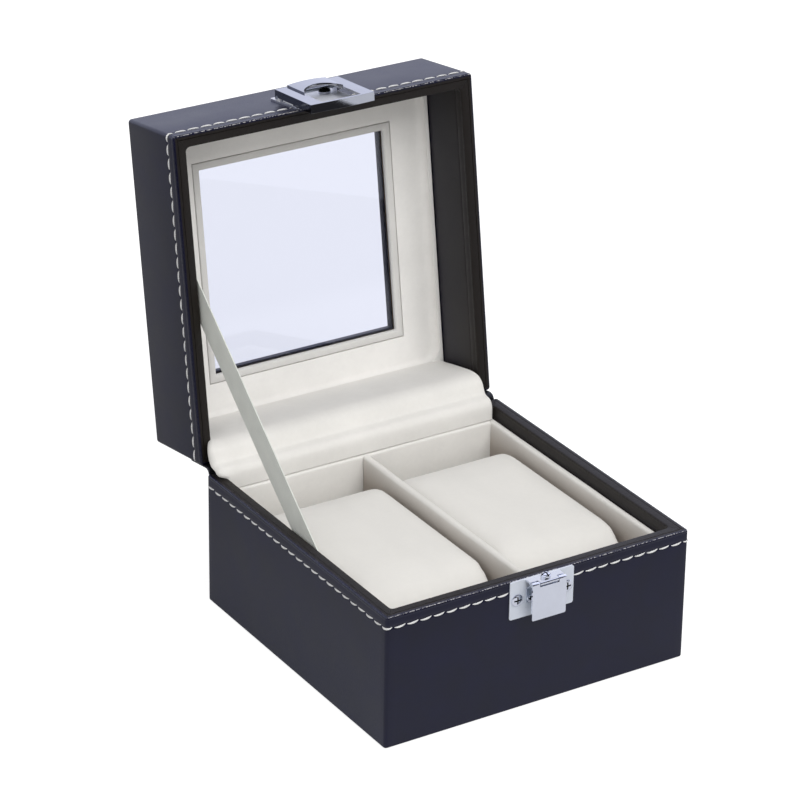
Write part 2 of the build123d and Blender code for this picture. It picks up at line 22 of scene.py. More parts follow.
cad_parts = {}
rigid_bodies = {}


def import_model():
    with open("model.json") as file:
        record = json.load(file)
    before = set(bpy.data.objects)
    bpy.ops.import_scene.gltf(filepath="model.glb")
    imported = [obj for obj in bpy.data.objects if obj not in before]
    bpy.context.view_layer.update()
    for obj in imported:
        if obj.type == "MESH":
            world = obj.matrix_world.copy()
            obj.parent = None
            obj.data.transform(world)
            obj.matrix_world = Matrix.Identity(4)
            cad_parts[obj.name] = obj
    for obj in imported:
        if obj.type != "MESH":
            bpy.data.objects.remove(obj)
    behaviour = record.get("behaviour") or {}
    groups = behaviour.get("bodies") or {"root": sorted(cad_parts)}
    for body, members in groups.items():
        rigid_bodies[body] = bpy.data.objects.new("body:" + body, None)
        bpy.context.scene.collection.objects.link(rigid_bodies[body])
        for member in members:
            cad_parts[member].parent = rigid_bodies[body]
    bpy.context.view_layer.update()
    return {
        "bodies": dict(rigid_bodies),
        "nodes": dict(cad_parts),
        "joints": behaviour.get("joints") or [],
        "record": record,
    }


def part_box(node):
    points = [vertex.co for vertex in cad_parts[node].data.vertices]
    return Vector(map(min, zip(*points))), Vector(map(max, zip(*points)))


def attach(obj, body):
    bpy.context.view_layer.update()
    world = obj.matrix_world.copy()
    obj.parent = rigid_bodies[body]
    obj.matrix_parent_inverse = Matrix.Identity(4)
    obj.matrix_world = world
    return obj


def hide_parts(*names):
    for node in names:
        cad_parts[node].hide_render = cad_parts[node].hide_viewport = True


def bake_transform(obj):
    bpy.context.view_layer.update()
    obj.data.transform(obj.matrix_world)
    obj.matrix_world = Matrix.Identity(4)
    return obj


MM = 0.001
NEAR = 0.1 * MM
COLOUR = tuple[float, float, float]
LOG = logging.getLogger("watch_box")


class Slot(Enum):
    """The record's material slots, passed along with new pieces."""

    LEATHER = "black_leather"
    VELVET = "cream_velvet"
    CUSHION = "cushion_velvet"
    RIBBON = "grey_ribbon"
    CHROME = "polished_chrome"


class Body(Enum):
    """The bodies that pieces ride on."""

    BASE = "base"
    LID = "lid"
    FLAP = "hasp_flap"
    TONGUE = "catch_tongue"
    LEFT_CUSHION = "cushion_left"
    RIGHT_CUSHION = "cushion_right"


class Wire:
    """A shader socket that takes part in Python arithmetic."""

    def __init__(self, tree: bpy.types.NodeTree, socket: bpy.types.NodeSocket) -> None:
        """Wraps a number socket of a node tree."""
        self.tree = tree
        self.socket = socket

    def _maths(self, operation: str, *values: Wire | float, clamp: bool = False) -> Wire:
        """Adds one Math node.

        Args:
            operation: the node's operation.
            values: its inputs, wires or numbers.
            clamp: whether the result stays between 0 and 1.

        Returns:
            The node's output.
        """
        node = self.tree.nodes.new("ShaderNodeMath")
        node.operation = operation
        node.use_clamp = clamp
        for place, value in zip(node.inputs, values):
            if isinstance(value, Wire):
                self.tree.links.new(value.socket, place)
            else:
                place.default_value = value
        return Wire(self.tree, node.outputs[0])

    def __add__(self, other: Wire | float) -> Wire:
        """Adds another wire or a number."""
        return self._maths("ADD", self, other)

    __radd__ = __add__

    def __sub__(self, other: Wire | float) -> Wire:
        """Takes away another wire or a number."""
        return self._maths("SUBTRACT", self, other)

    def __rsub__(self, other: float) -> Wire:
        """Takes this from a number."""
        return self._maths("SUBTRACT", other, self)

    def __mul__(self, other: Wire | float) -> Wire:
        """Multiplies by another wire or a number."""
        return self._maths("MULTIPLY", self, other)

    def __truediv__(self, other: Wire | float) -> Wire:
        """Divides by another wire or a number."""
        return self._maths("DIVIDE", self, other)

    def __abs__(self) -> Wire:
        """The size without its sign."""
        return self._maths("ABSOLUTE", self)

    def sine(self) -> Wire:
        """The sine."""
        return self._maths("SINE", self)

    def power(self, exponent: float) -> Wire:
        """Raises to a power."""
        return self._maths("POWER", self, exponent)

    def clamped(self) -> Wire:
        """Keeps between 0 and 1."""
        return self._maths("ADD", self, 0.0, clamp=True)

    def above(self, other: Wire | float) -> Wire:
        """The larger of this and another."""
        return self._maths("MAXIMUM", self, other)

    def below(self, other: Wire | float) -> Wire:
        """The smaller of this and another."""
        return self._maths("MINIMUM", self, other)


class Graph:
    """A node tree that takes nodes with their settings, values and links."""

    def __init__(self, tree: bpy.types.NodeTree) -> None:
        """Empties a node tree."""
        self.tree = tree
        tree.nodes.clear()

    def fill(self, place: bpy.types.NodeSocket, value: Any) -> None:
        """Links an input to a wire or a socket, or sets its value."""
        if isinstance(value, Wire):
            self.tree.links.new(value.socket, place)
        elif isinstance(value, bpy.types.NodeSocket):
            self.tree.links.new(value, place)
        else:
            place.default_value = value

    def node(self, kind: str, settings: dict[str, Any] | None = None,
             inputs: dict[str, Any] | None = None) -> bpy.types.Node:
        """Adds a node.

        Args:
            kind: the node's type.
            settings: its own settings, set first.
            inputs: values, wires or sockets, by the name of the node's input.

        Returns:
            The node.
        """
        node = self.tree.nodes.new(kind)
        for name, value in (settings or {}).items():
            setattr(node, name, value)
        for name, value in (inputs or {}).items():
            self.fill(node.inputs[name], value)
        return node

    def wires(self, node: bpy.types.Node, *outputs: str) -> list[Wire]:
        """A node's outputs, by their names, as wires."""
        return [Wire(self.tree, node.outputs[name]) for name in outputs]

    def rays(self) -> list[Wire]:
        """1 for a ray from the camera, a mirrored ray and a ray that is let through."""
        path = self.node("ShaderNodeLightPath")
        return self.wires(path, "Is Camera Ray", "Is Glossy Ray", "Is Transmission Ray")

    def mix(self, factor: Wire, first: Any, second: Any) -> bpy.types.NodeSocket:
        """Mixes two colours.

        Args:
            factor: 0 for the first, 1 for the second.
            first: a colour or its socket.
            second: a colour or its socket.

        Returns:
            The colour socket.
        """
        node = self.node("ShaderNodeMix", {"data_type": "RGBA"})
        for place, value in ((0, factor), (6, first), (7, second)):
            self.fill(node.inputs[place], (*value, 1.0) if isinstance(value, tuple) else value)
        return node.outputs[2]


class Recipe(Graph):
    """One node-based material on a Principled shader."""

    def __init__(self, name: str) -> None:
        """Starts an empty material."""
        self.material = bpy.data.materials.new(name)
        self.material.use_nodes = True
        super().__init__(self.material.node_tree)
        self.shader = self.node("ShaderNodeBsdfPrincipled")
        self.node("ShaderNodeOutputMaterial", inputs={"Surface": self.shader.outputs[0]})
        self._places: bpy.types.NodeSocket | None = None

    @property
    def places(self) -> bpy.types.NodeSocket:
        """Object coordinates, in metres."""
        if self._places is None:
            self._places = self.node("ShaderNodeTexCoord").outputs["Object"]
        return self._places

    def axes(self, vector: bpy.types.NodeSocket | None = None) -> list[Wire]:
        """The X, Y and Z of a vector, or else of the object coordinates."""
        split = self.node("ShaderNodeSeparateXYZ", inputs={"Vector": vector or self.places})
        return self.wires(split, "X", "Y", "Z")

    def stretched(self, scale: Sequence[float]) -> bpy.types.NodeSocket:
        """Object coordinates scaled by axis."""
        mapping = self.node("ShaderNodeMapping", inputs={"Vector": self.places, "Scale": scale})
        return mapping.outputs[0]

    def cloud(self, scale: float, detail: float = 2.0, rough: float = 0.5,
              at: bpy.types.NodeSocket | None = None) -> Wire:
        """Soft noise from 0 to 1.

        Args:
            scale: cells a metre.
            detail: octaves.
            rough: how much the small octaves count.
            at: coordinates, the object's own if left out.

        Returns:
            The noise.
        """
        node = self.node("ShaderNodeTexNoise", inputs={
            "Vector": at or self.places, "Scale": scale, "Detail": detail, "Roughness": rough})
        return self.wires(node, "Fac")[0]

    def cells(self, scale: float) -> Wire:
        """The distance inside grain cells, of which there are so many a metre."""
        node = self.node("ShaderNodeTexVoronoi", inputs={"Vector": self.places, "Scale": scale})
        return self.wires(node, "Distance")[0]

    def ramp(self, value: Wire, *stops: tuple[float, COLOUR]) -> bpy.types.NodeSocket:
        """A colour ramp over a value.

        Args:
            value: what to colour by.
            stops: two places from 0 to 1 with their colours.

        Returns:
            The colour socket.
        """
        node = self.node("ShaderNodeValToRGB", inputs={"Fac": value})
        for point, (place, colour) in zip(node.color_ramp.elements, stops):
            point.position = place
            point.color = (*colour, 1.0)
        return node.outputs["Color"]

    def bump(self, height: Wire, depth: float,
             below: bpy.types.NodeSocket | None = None) -> bpy.types.NodeSocket:
        """A Bump node, with height 1 standing for a real depth.

        Args:
            height: the height, about 0 to 1.
            depth: metres.
            below: the normal of a coarser bump.

        Returns:
            The normal socket.
        """
        node = self.node("ShaderNodeBump", inputs={"Height": height, "Distance": depth, "Strength": 1.0})
        if below is not None:
            self.tree.links.new(below, node.inputs["Normal"])
        return node.outputs["Normal"]

    def dress(self, **inputs: Any) -> bpy.types.Material:
        """Sets the shader's inputs, where an underscore stands for a space, and returns the material."""
        for name, value in inputs.items():
            self.fill(self.shader.inputs[name.replace("_", " ")], value)
        return self.material


def shaded(colour: COLOUR, factor: float) -> COLOUR:
    """A colour made lighter or darker by a factor."""
    return tuple(part * factor for part in colour)


@dataclass(frozen=True)
class Leatherette:
    """Black coated cloth with a fine grain.

    It is pulled in along a seam, worn shiny on the rolled rim, and duller and, as painted shade, browner
    where it is turned in. The front rims carry a dotted line of painted glints.
    """

    colour: COLOUR = (0.0012, 0.0014, 0.0165)
    grain: float = 2100.0
    grain_depth: float = 0.020 * MM
    wave_depth: float = 0.22 * MM
    seam_depth: float = 0.20 * MM
    seam_width: float = 1.2 * MM
    rough: float = 0.33
    index: float = 1.47
    # The colour, place and width of a dotted line of painted glints on the front rims' rolled edge.
    glint_colour: COLOUR = (0.50, 0.49, 0.49)
    glint_at: float = 0.22 * MM
    glint_half: float = 0.14 * MM
    # The browner colour of the turned-in leather inside is painted shade.
    turned: COLOUR = (0.0085, 0.0055, 0.0030)
    turned_from: float = 0.6 * MM
    turned_fade: float = 0.4 * MM
    turned_deep: float = 40 * MM
    turned_rough: float = 0.20
    roll_at: float = 0.35 * MM
    roll_half: float = 0.75 * MM
    roll_depth: float = 0.30 * MM
    roll_shine: float = 0.20
    # How far in from the front the painted glints reach.
    glint_front: float = 0.9 * MM
    waves: float = 34.0
    patches: float = 90.0
    # Noise scale that breaks the painted glint line into dots.
    pips: float = 950.0
    fibres: float = 1500.0
    mitre_half: float = 0.22 * MM
    mitre_deep: float = 0.3 * MM

    def make(self, name: str, plan: CasePlan | None = None) -> bpy.types.Material:
        """Builds the material.

        Args:
            name: its name.
            plan: where the rim and the seam are, for a case's covering.

        Returns:
            The material.
        """
        recipe = Recipe(name)
        cells = recipe.cells(self.grain)
        pores = recipe.cloud(self.grain * 1.7)
        patch = recipe.cloud(self.patches, 3.0)
        soft = recipe.bump(recipe.cloud(self.waves, 1.0), self.wave_depth)
        rough = self.rough + patch * 0.08 + cells * 0.05
        tint = recipe.ramp(patch, (0.3, shaded(self.colour, 0.8)), (0.7, shaded(self.colour, 1.25)))
        if plan is not None:
            along, over, drop = plan.wires(recipe)
            seam = peak(drop - plan.seam_drop, self.seam_width)
            soft = recipe.bump(1.0 - seam * seam, self.seam_depth, soft)
            roll = peak(drop - self.roll_at, self.roll_half)
            soft = recipe.bump(roll * recipe.cloud(self.pips, 3.0, 0.7), self.roll_depth, soft)
            fold = abs(along) - abs(over) - (plan.half.x - plan.half.y)
            mitre = peak(fold, self.mitre_half) * (1.0 - drop / self.mitre_deep).clamped()
            soft = recipe.bump(1.0 - mitre, self.roll_depth, soft)
            inset = (plan.half.x - abs(along)).below(plan.half.y - abs(over))
            # Inside, the leather is made duller, and its colour is mixed towards the browner one as painted
            # shade.
            inner = ((inset - self.turned_from) / self.turned_fade).clamped()
            inner = inner * (1.0 - (drop / self.turned_deep).clamped())
            rough = rough - roll * self.roll_shine * (1.0 - inner) + inner * self.turned_rough
            # Painted glints: a dotted pale line along the rolled edge of the front rims only.
            front = ((over * -1.0 - plan.half.y + self.glint_front) / (0.2 * MM)).clamped()
            glint_dots = recipe.cloud(self.fibres, rough=0.6, at=recipe.stretched((1.0, 1.6, 1.6)))
            glint_mask = peak(drop - self.glint_at, self.glint_half) * front * ((glint_dots - 0.47) * 12.0).clamped()
            tint = recipe.mix(glint_mask, recipe.mix(inner, tint, self.turned), self.glint_colour)
        fine = recipe.bump(cells * 0.75 + pores * 0.35, self.grain_depth, soft)
        return recipe.dress(Base_Color=tint, Roughness=rough, IOR=self.index, Normal=fine)


def peak(offset: Wire, half: float) -> Wire:
    """1 at an offset of 0, falling to 0 on both sides at a half width."""
    return (1.0 - abs(offset) / half).clamped()


@dataclass(frozen=True)
class CasePlan:
    """Where a case's covering has its rim and seam, seen from where the case ends up."""

    placed: Matrix
    rim: float
    inward: float
    seam_drop: float
    half: Vector

    def wires(self, recipe: Recipe) -> tuple[Wire, Wire, Wire]:
        """The closed box's X and Y, and the way down from the rim, in metres."""
        along, over, high = closed_axes(recipe, self.placed)
        return along, over, (high - self.rim) * self.inward


def closed_axes(recipe: Recipe, placed: Matrix) -> list[Wire]:
    """Object coordinates taken back through a placement.

    Args:
        recipe: the material that needs them.
        placed: where the piece was put.

    Returns:
        X, Y and Z before it was put there.
    """
    x, y, z = recipe.axes()
    return [x * row[0] + y * row[1] + z * row[2] + row[3] for row in list(placed.inverted())[:3]]


@dataclass(frozen=True)
class Velvet:
    """Short pile on card or foam: soft mottling, a nap and pale glancing edges."""

    colour: COLOUR = (0.80, 0.785, 0.755)
    pile: float = 2600.0
    pile_depth: float = 0.05 * MM
    nap: float = 0.05
    sheen: float = 0.25
    wave_depth: float = 0.10 * MM
    # A browner colour mixed in further down a wall, as painted shade, from below the top over a run.
    deep: COLOUR | None = None
    painted_shade_from: float = 0.9 * MM
    painted_shade_run: float = 9.0 * MM

    def make(self, name: str, top: float = 0.0) -> bpy.types.Material:
        """Builds the material.

        Args:
            name: its name.
            top: how high it stands; further down from it the colour is darkened towards brown, as painted
                shade.

        Returns:
            The material.
        """
        recipe = Recipe(name)
        tuft = recipe.cloud(self.pile, 3.0, 0.65)
        brushed = recipe.cloud(60.0, 4.0, 0.55, recipe.stretched((1.0, 0.5, 1.0)))
        speck = recipe.cloud(700.0, 2.0, 0.6)
        soft = recipe.bump(recipe.cloud(110.0, 2.0), self.wave_depth)
        fine = recipe.bump(tuft, self.pile_depth, soft)
        shade = brushed * 0.7 + speck * 0.2 + tuft * 0.1
        dark, light = shaded(self.colour, 1.0 - self.nap), shaded(self.colour, 1.0 + self.nap * 0.6)
        tint = recipe.ramp(shade, (0.35, dark), (0.65, light))
        if self.deep is not None:
            # Painted shade: the colour goes browner further down from the top.
            down = ((top - self.painted_shade_from - recipe.axes()[2]) / self.painted_shade_run).clamped().power(0.6)
            tint = recipe.mix(down, tint, self.deep)
        return recipe.dress(Base_Color=tint, Roughness=0.9, Normal=fine, IOR=1.35,
                            Sheen_Weight=self.sheen, Sheen_Roughness=0.45)


@dataclass(frozen=True)
class WovenRibbon:
    """A satin ribbon with fine ribs along it and plain edges."""

    colour: COLOUR = (0.74, 0.76, 0.71)
    rib: float = 0.35 * MM

    def make(self, name: str) -> bpy.types.Material:
        """Builds the material under a name. The piece's UV map runs along it in U and across it in V."""
        recipe = Recipe(name)
        cloth = recipe.node("ShaderNodeUVMap", {"uv_map": "cloth"}).outputs["UV"]
        along, over, _ = recipe.axes(cloth)
        warp = (over * (math.tau / self.rib)).sine()
        weft = (along * (math.tau / (self.rib * 0.8))).sine()
        weave = warp * 0.5 + weft * 0.3 + 0.5
        patch = recipe.cloud(150.0, 3.0)
        shade = weave * 0.35 + patch * 0.65
        tint = recipe.ramp(shade, (0.2, shaded(self.colour, 0.88)), (0.8, shaded(self.colour, 1.08)))
        return recipe.dress(Base_Color=tint, Roughness=0.55, Normal=recipe.bump(weave, 0.03 * MM),
                            Sheen_Weight=0.2, Sheen_Roughness=0.4)


@dataclass(frozen=True)
class Thread:
    """Twisted white sewing thread."""

    colour: COLOUR = (0.83, 0.83, 0.83)

    def make(self, name: str) -> bpy.types.Material:
        """Builds the material under a name."""
        recipe = Recipe(name)
        ply = recipe.node("ShaderNodeTexWave", {"wave_type": "BANDS", "bands_direction": "DIAGONAL"}, {
            "Vector": recipe.places, "Scale": 900.0, "Distortion": 1.5})
        twist = recipe.wires(ply, "Fac")[0]
        tint = recipe.ramp(twist, (0.1, shaded(self.colour, 0.85)), (0.6, self.colour))
        return recipe.dress(Base_Color=tint, Roughness=0.6, Normal=recipe.bump(twist, 0.05 * MM),
                            Sheen_Weight=0.2)


@dataclass(frozen=True)
class Dull:
    """Where a metal piece isn't bright, as a short round bar: painted shade in a slot or on a side face, a
    painted dark reflection on a dome, a raw back or a satin face.

    Its centre, reach (the radius) and band (its two ends along outward) are in millimetres.
    """

    centre: Sequence[float]
    outward: Sequence[float]
    reach: float
    band: tuple[float, float]
    # The default colour: painted shade for slots, and a painted dark reflection for domes.
    colour: COLOUR = (0.020, 0.022, 0.018)
    rough: float = 0.30
    bare: float = 0.0
    placed: Matrix = field(default_factory=lambda: Matrix.Identity(4))

    def mask(self, recipe: Recipe) -> Wire:
        """1 where the metal is dull, on both sides of the middle alike."""
        along, over, high = closed_axes(recipe, self.placed)
        x, y, z = (way - at * MM for way, at in zip((abs(along), over, high), self.centre))
        rise = x * self.outward[0] + y * self.outward[1] + z * self.outward[2]
        square = x * x + y * y + z * z - rise * rise
        near = ((self.reach * MM - square.power(0.5)) / (0.10 * MM)).clamped()
        above = ((rise - self.band[0] * MM) / (0.05 * MM)).clamped()
        return near * above * ((self.band[1] * MM - rise) / (0.05 * MM)).clamped()


@dataclass(frozen=True)
class Metal:
    """Plated or bare metal with a faint brushing and handling marks."""

    colour: COLOUR
    rough: float
    brush_depth: float
    wobble: float = 0.003 * MM

    def make(self, name: str, dulls: Sequence[Dull] = ()) -> bpy.types.Material:
        """Builds the material.

        Args:
            name: its name.
            dulls: where the piece isn't bright.

        Returns:
            The material.
        """
        recipe = Recipe(name)
        smear = recipe.cloud(220.0, 4.0, 0.6)
        brush = recipe.cloud(500.0, 3.0, 0.6, recipe.stretched((1.0, 14.0, 14.0)))
        wobble = recipe.bump(recipe.cloud(260.0, 1.0), self.wobble)
        tint = recipe.ramp(smear, (0.3, shaded(self.colour, 0.95)), (0.7, self.colour))
        rough = self.rough + smear * 0.02
        bright = 1.0
        for dull in dulls:
            mask = dull.mask(recipe)
            tint = recipe.mix(mask, tint, dull.colour)
            rough = rough + mask * dull.rough
            bright = bright - mask * dull.bare
        return recipe.dress(Base_Color=tint, Metallic=bright, Roughness=rough,
                            Normal=recipe.bump(brush, self.brush_depth, wobble))


@dataclass(frozen=True)
class Fibres:
    """Raw fibreboard or felt paper: pressed fibres and flecks."""

    colour: COLOUR
    scale: float
    detail: float
    spread: tuple[float, float]
    ends: tuple[float, float]
    rough: float
    depth: float
    sheen: float = 0.0
    drawn: Sequence[float] = (1.0, 1.0, 1.0)

    def make(self, name: str) -> bpy.types.Material:
        """Builds the material under a name."""
        recipe = Recipe(name)
        fuzz = recipe.cloud(self.scale, self.detail, 0.7, recipe.stretched(self.drawn))
        stops = [(at, shaded(self.colour, factor)) for at, factor in zip(self.ends, self.spread)]
        return recipe.dress(Base_Color=recipe.ramp(fuzz, *stops), Roughness=self.rough,
                            Normal=recipe.bump(fuzz, self.depth), Sheen_Weight=self.sheen)


BOARD = Fibres(colour=(0.36, 0.25, 0.15), scale=900.0, detail=5.0, spread=(0.75, 1.15), ends=(0.35, 0.65),
               rough=0.85, depth=0.04 * MM, drawn=(1.0, 1.0, 3.0))
FELT = Fibres(colour=(0.016, 0.016, 0.018), scale=1500.0, detail=4.0, spread=(0.7, 1.5), ends=(0.3, 0.7),
              rough=0.95, depth=0.06 * MM, sheen=0.3)


@dataclass(frozen=True)
class Pane:
    """Clear window glass with the faintest unevenness."""

    colour: COLOUR = (0.66, 0.68, 0.78)

    def make(self, name: str) -> bpy.types.Material:
        """Builds the material under a name."""
        recipe = Recipe(name)
        haze = recipe.cloud(40.0, 2.0)
        normal = recipe.bump(haze, 0.004 * MM)
        return recipe.dress(Base_Color=(*self.colour, 1.0), Roughness=haze * 0.02, Normal=normal,
                            IOR=1.45, Transmission_Weight=1.0)


class Finishes:
    """Every material of the box, made once."""

    def __init__(self) -> None:
        """Makes the finishes."""
        self.metals = {
            "chrome": Metal((0.86, 0.88, 0.94), 0.02, 0.0010 * MM),
            # Darker than the catch's chrome: a painted reflection of the darker room that the flap mirrors.
            "nickel": Metal((0.40, 0.405, 0.42), 0.02, 0.0010 * MM),
            "satin": Metal((0.52, 0.53, 0.58), 0.34, 0.0010 * MM),
        }
        self.made = {
            "board": BOARD.make("raw_board"),
            "felt": FELT.make("base_felt"),
            "velvet": Velvet().make("cream_velvet"),
            "lining": Velvet((0.85, 0.835, 0.81)).make("lining_velvet"),
            "bezel": Velvet((0.70, 0.69, 0.67)).make("bezel_velvet"),
            # Velvet for the divider and right wall, with painted shade lower down.
            "wall": Velvet(deep=(0.39, 0.34, 0.30)).make("wall_velvet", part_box("tray_divider")[1].z),
            "cushion": Velvet(nap=0.03, wave_depth=0.22 * MM).make("cushion_velvet"),
            "ribbon": WovenRibbon().make("stay_ribbon"),
            "thread": Thread().make("white_thread"),
            "steel": Metal((0.62, 0.66, 0.72), 0.40, 0.002 * MM).make("spring_steel"),
            "glass": Pane().make("clear_glass"),
            # Neutral, less blue leatherette for the hinge strip: painted shade, as the strip sits in shade.
            "leather": Leatherette((0.0035, 0.0032, 0.0045)).make("leatherette"),
        }

    def __getitem__(self, name: str) -> bpy.types.Material:
        """A finish by its name."""
        return self.made[name]


class Bench:
    """Modelling by operators on one object at a time."""

    @staticmethod
    def clear() -> None:
        """Deselects everything."""
        if bpy.context.object is not None and bpy.context.object.mode != "OBJECT":
            bpy.ops.object.mode_set(mode="OBJECT")
        bpy.ops.object.select_all(action="DESELECT")

    @staticmethod
    def take(piece: bpy.types.Object) -> None:
        """Makes a piece the only one selected."""
        Bench.clear()
        piece.select_set(True)
        bpy.context.view_layer.objects.active = piece

    @staticmethod
    def block(name: str, low: Sequence[float], high: Sequence[float]) -> bpy.types.Object:
        """A block between two corners, to be shaped further.

        Args:
            name: the piece's name.
            low: its lowest corner.
            high: its highest corner.

        Returns:
            The piece.
        """
        Bench.clear()
        low, high = Vector(low), Vector(high)
        bpy.ops.mesh.primitive_cube_add(size=1.0, location=(low + high) / 2)
        piece = bpy.context.object
        piece.name = name
        piece.scale = high - low
        bpy.ops.object.transform_apply(location=True, rotation=True, scale=True)
        return piece

    @staticmethod
    def sheet(name: str, along: int, over: int) -> bpy.types.Object:
        """A flat grid from -0.5 to 0.5, to be laid out by a formula.

        Args:
            name: the piece's name.
            along: cells in X.
            over: cells in Y.

        Returns:
            The piece.
        """
        Bench.clear()
        bpy.ops.mesh.primitive_grid_add(x_subdivisions=along, y_subdivisions=over, size=1.0)
        piece = bpy.context.object
        piece.name = name
        return piece

    @staticmethod
    @contextmanager
    def editing(piece: bpy.types.Object) -> Iterator[None]:
        """Edit mode on a piece, with nothing selected at the start."""
        Bench.take(piece)
        bpy.ops.object.mode_set(mode="EDIT")
        bpy.ops.mesh.select_all(action="DESELECT")
        yield
        bpy.ops.object.mode_set(mode="OBJECT")

    @staticmethod
    def pick(piece: bpy.types.Object, kind: str, test: Callable[[Any], bool]) -> None:
        """Selects faces, edges or verts in edit mode.

        Args:
            piece: the piece in edit mode.
            kind: "faces", "edges" or "verts".
            test: whether to take one.
        """
        mode = {"faces": "FACE", "edges": "EDGE", "verts": "VERT"}[kind]
        bpy.ops.mesh.select_mode(type=mode)
        bpy.ops.mesh.select_all(action="DESELECT")
        shape = bmesh.from_edit_mesh(piece.data)
        for part in [part for part in getattr(shape, kind) if test(part)]:
            part.select_set(True)
        shape.select_flush_mode()
        bmesh.update_edit_mesh(piece.data)

    @staticmethod
    def apply(piece: bpy.types.Object, kind: str, name: str, **settings: Any) -> None:
        """Adds a modifier and applies it."""
        Bench.take(piece)
        modifier = piece.modifiers.new(name, kind)
        for key, value in settings.items():
            setattr(modifier, key, value)
        bpy.ops.object.modifier_apply(modifier=modifier.name)

    @staticmethod
    def smooth(piece: bpy.types.Object, degrees: float = 40.0) -> None:
        """Shades a piece smooth but for its sharp edges."""
        Bench.take(piece)
        bpy.ops.object.shade_smooth_by_angle(angle=math.radians(degrees))

    @staticmethod
    def ease(piece: bpy.types.Object, width: float, segments: int = 2, degrees: float = 32.0) -> None:
        """Rounds the edges of a piece that are sharper than an angle.

        Args:
            piece: the piece.
            width: the width of the rounding.
            segments: how many faces make it.
            degrees: the angle.
        """
        Bench.apply(piece, "BEVEL", "ease", width=width, segments=segments, limit_method="ANGLE",
                    angle_limit=math.radians(degrees))

    @staticmethod
    def level(piece: bpy.types.Object) -> None:
        """Keeps the shading of large flat faces flat beside their eased edges."""
        Bench.apply(piece, "WEIGHTED_NORMAL", "level", keep_sharp=True, weight=80)

    @staticmethod
    def outward(piece: bpy.types.Object) -> None:
        """Merges doubles and points the faces outwards."""
        with Bench.editing(piece):
            bpy.ops.mesh.select_all(action="SELECT")
            bpy.ops.mesh.remove_doubles(threshold=0.001 * MM)
            bpy.ops.mesh.normals_make_consistent(inside=False)

    @staticmethod
    def join(pieces: Sequence[bpy.types.Object], name: str) -> bpy.types.Object:
        """Joins pieces into one under a name."""
        Bench.clear()
        for piece in pieces:
            piece.select_set(True)
        bpy.context.view_layer.objects.active = pieces[0]
        bpy.ops.object.join()
        joined = bpy.context.object
        joined.name = name
        return joined

    @staticmethod
    def copy(piece: bpy.types.Object, name: str) -> bpy.types.Object:
        """A loose copy of a piece with a mesh of its own."""
        twin = piece.copy()
        twin.data = piece.data.copy()
        twin.name = name
        twin.parent = None
        for key in [key for key in twin.keys() if key.startswith("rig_")]:
            del twin[key]
        bpy.context.scene.collection.objects.link(twin)
        twin.hide_render = False
        twin.hide_viewport = False
        return twin

    @staticmethod
    def paint(piece: bpy.types.Object, material: bpy.types.Material) -> None:
        """Gives a piece one material."""
        piece.data.materials.clear()
        piece.data.materials.append(material)


@dataclass
class Box:
    """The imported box: its frame, sizes and hinge."""

    frame: dict[str, Any]
    skirt: float = 4.6 * MM
    leather: float = 0.8 * MM
    corner: float = 1.2 * MM
    rim_gap: float = 0.3 * MM
    lid_height: float = 30.7 * MM
    window: float = 70.0 * MM
    seam_drop: float = 3.7 * MM

    def __post_init__(self) -> None:
        """Reads the sizes that the model gives."""
        self.low, self.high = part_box("base_leather_wrap")
        hinge = next(joint for joint in self.frame["joints"] if joint["name"] == "lid_hinge")
        turn = math.radians(hinge["range_deg"][0])
        place = Matrix.Translation(Vector(hinge["pos_m"]))
        self.opened = place @ Matrix.Rotation(turn, 4, "X") @ place.inverted()
        self.lid_rim = self.high.z + self.rim_gap
        self.lid_top = self.lid_rim + self.lid_height

    @property
    def half(self) -> Vector:
        """Half the width and half the depth."""
        return Vector((self.high.x, self.high.y))

    def node(self, name: str) -> bpy.types.Object:
        """A CAD node's object."""
        return self.frame["nodes"][name]

    def add(self, piece: bpy.types.Object, body: Body, slot: Slot, *nodes: str) -> None:
        """Lets a finished piece ride on a body.

        Args:
            piece: the piece, in place.
            body: the body it rides on.
            slot: the record's slot for its finish; not used.
            nodes: CAD nodes that it stands for.
        """
        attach(piece, body.value)
        self.label(piece, slot, *nodes)

    def bend(self, piece: bpy.types.Object, slot: Slot, start: Sequence[float], end: Sequence[float],
             *nodes: str) -> None:
        """Applies a finished piece's placement, for a piece between the base and the lid; it rides on no
        body.

        Args:
            piece: the piece, in place.
            slot: the record's slot for its finish; not used.
            start: the point up to which it should follow the base; not used.
            end: the point from which it should follow the lid; not used.
            nodes: CAD nodes that it stands for.
        """
        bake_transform(piece)
        self.label(piece, slot, *nodes)

    @staticmethod
    def label(piece: bpy.types.Object, slot: Slot, *nodes: str) -> None:
        """Hides the nodes that a piece stands for, and logs the piece."""
        if nodes:
            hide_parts(*nodes)
        LOG.info("%s: %d faces", piece.name, len(piece.data.polygons))

    def closed_top(self, node: str) -> float:
        """How high a lid node reaches with the lid closed."""
        back = self.opened.inverted()
        return max((back @ vert.co).z for vert in self.node(node).data.vertices)


def level_edge(edge: bmesh.types.BMEdge, shortest: float) -> bool:
    """Whether an edge is longer than a length and nearly level."""
    span = edge.verts[0].co - edge.verts[1].co
    return span.length > shortest and abs(span.normalized().z) < 0.1


def smoothstep(value: float) -> float:
    """Rises softly from 0 to 1."""
    value = min(max(value, 0.0), 1.0)
    return value * value * (3.0 - 2.0 * value)


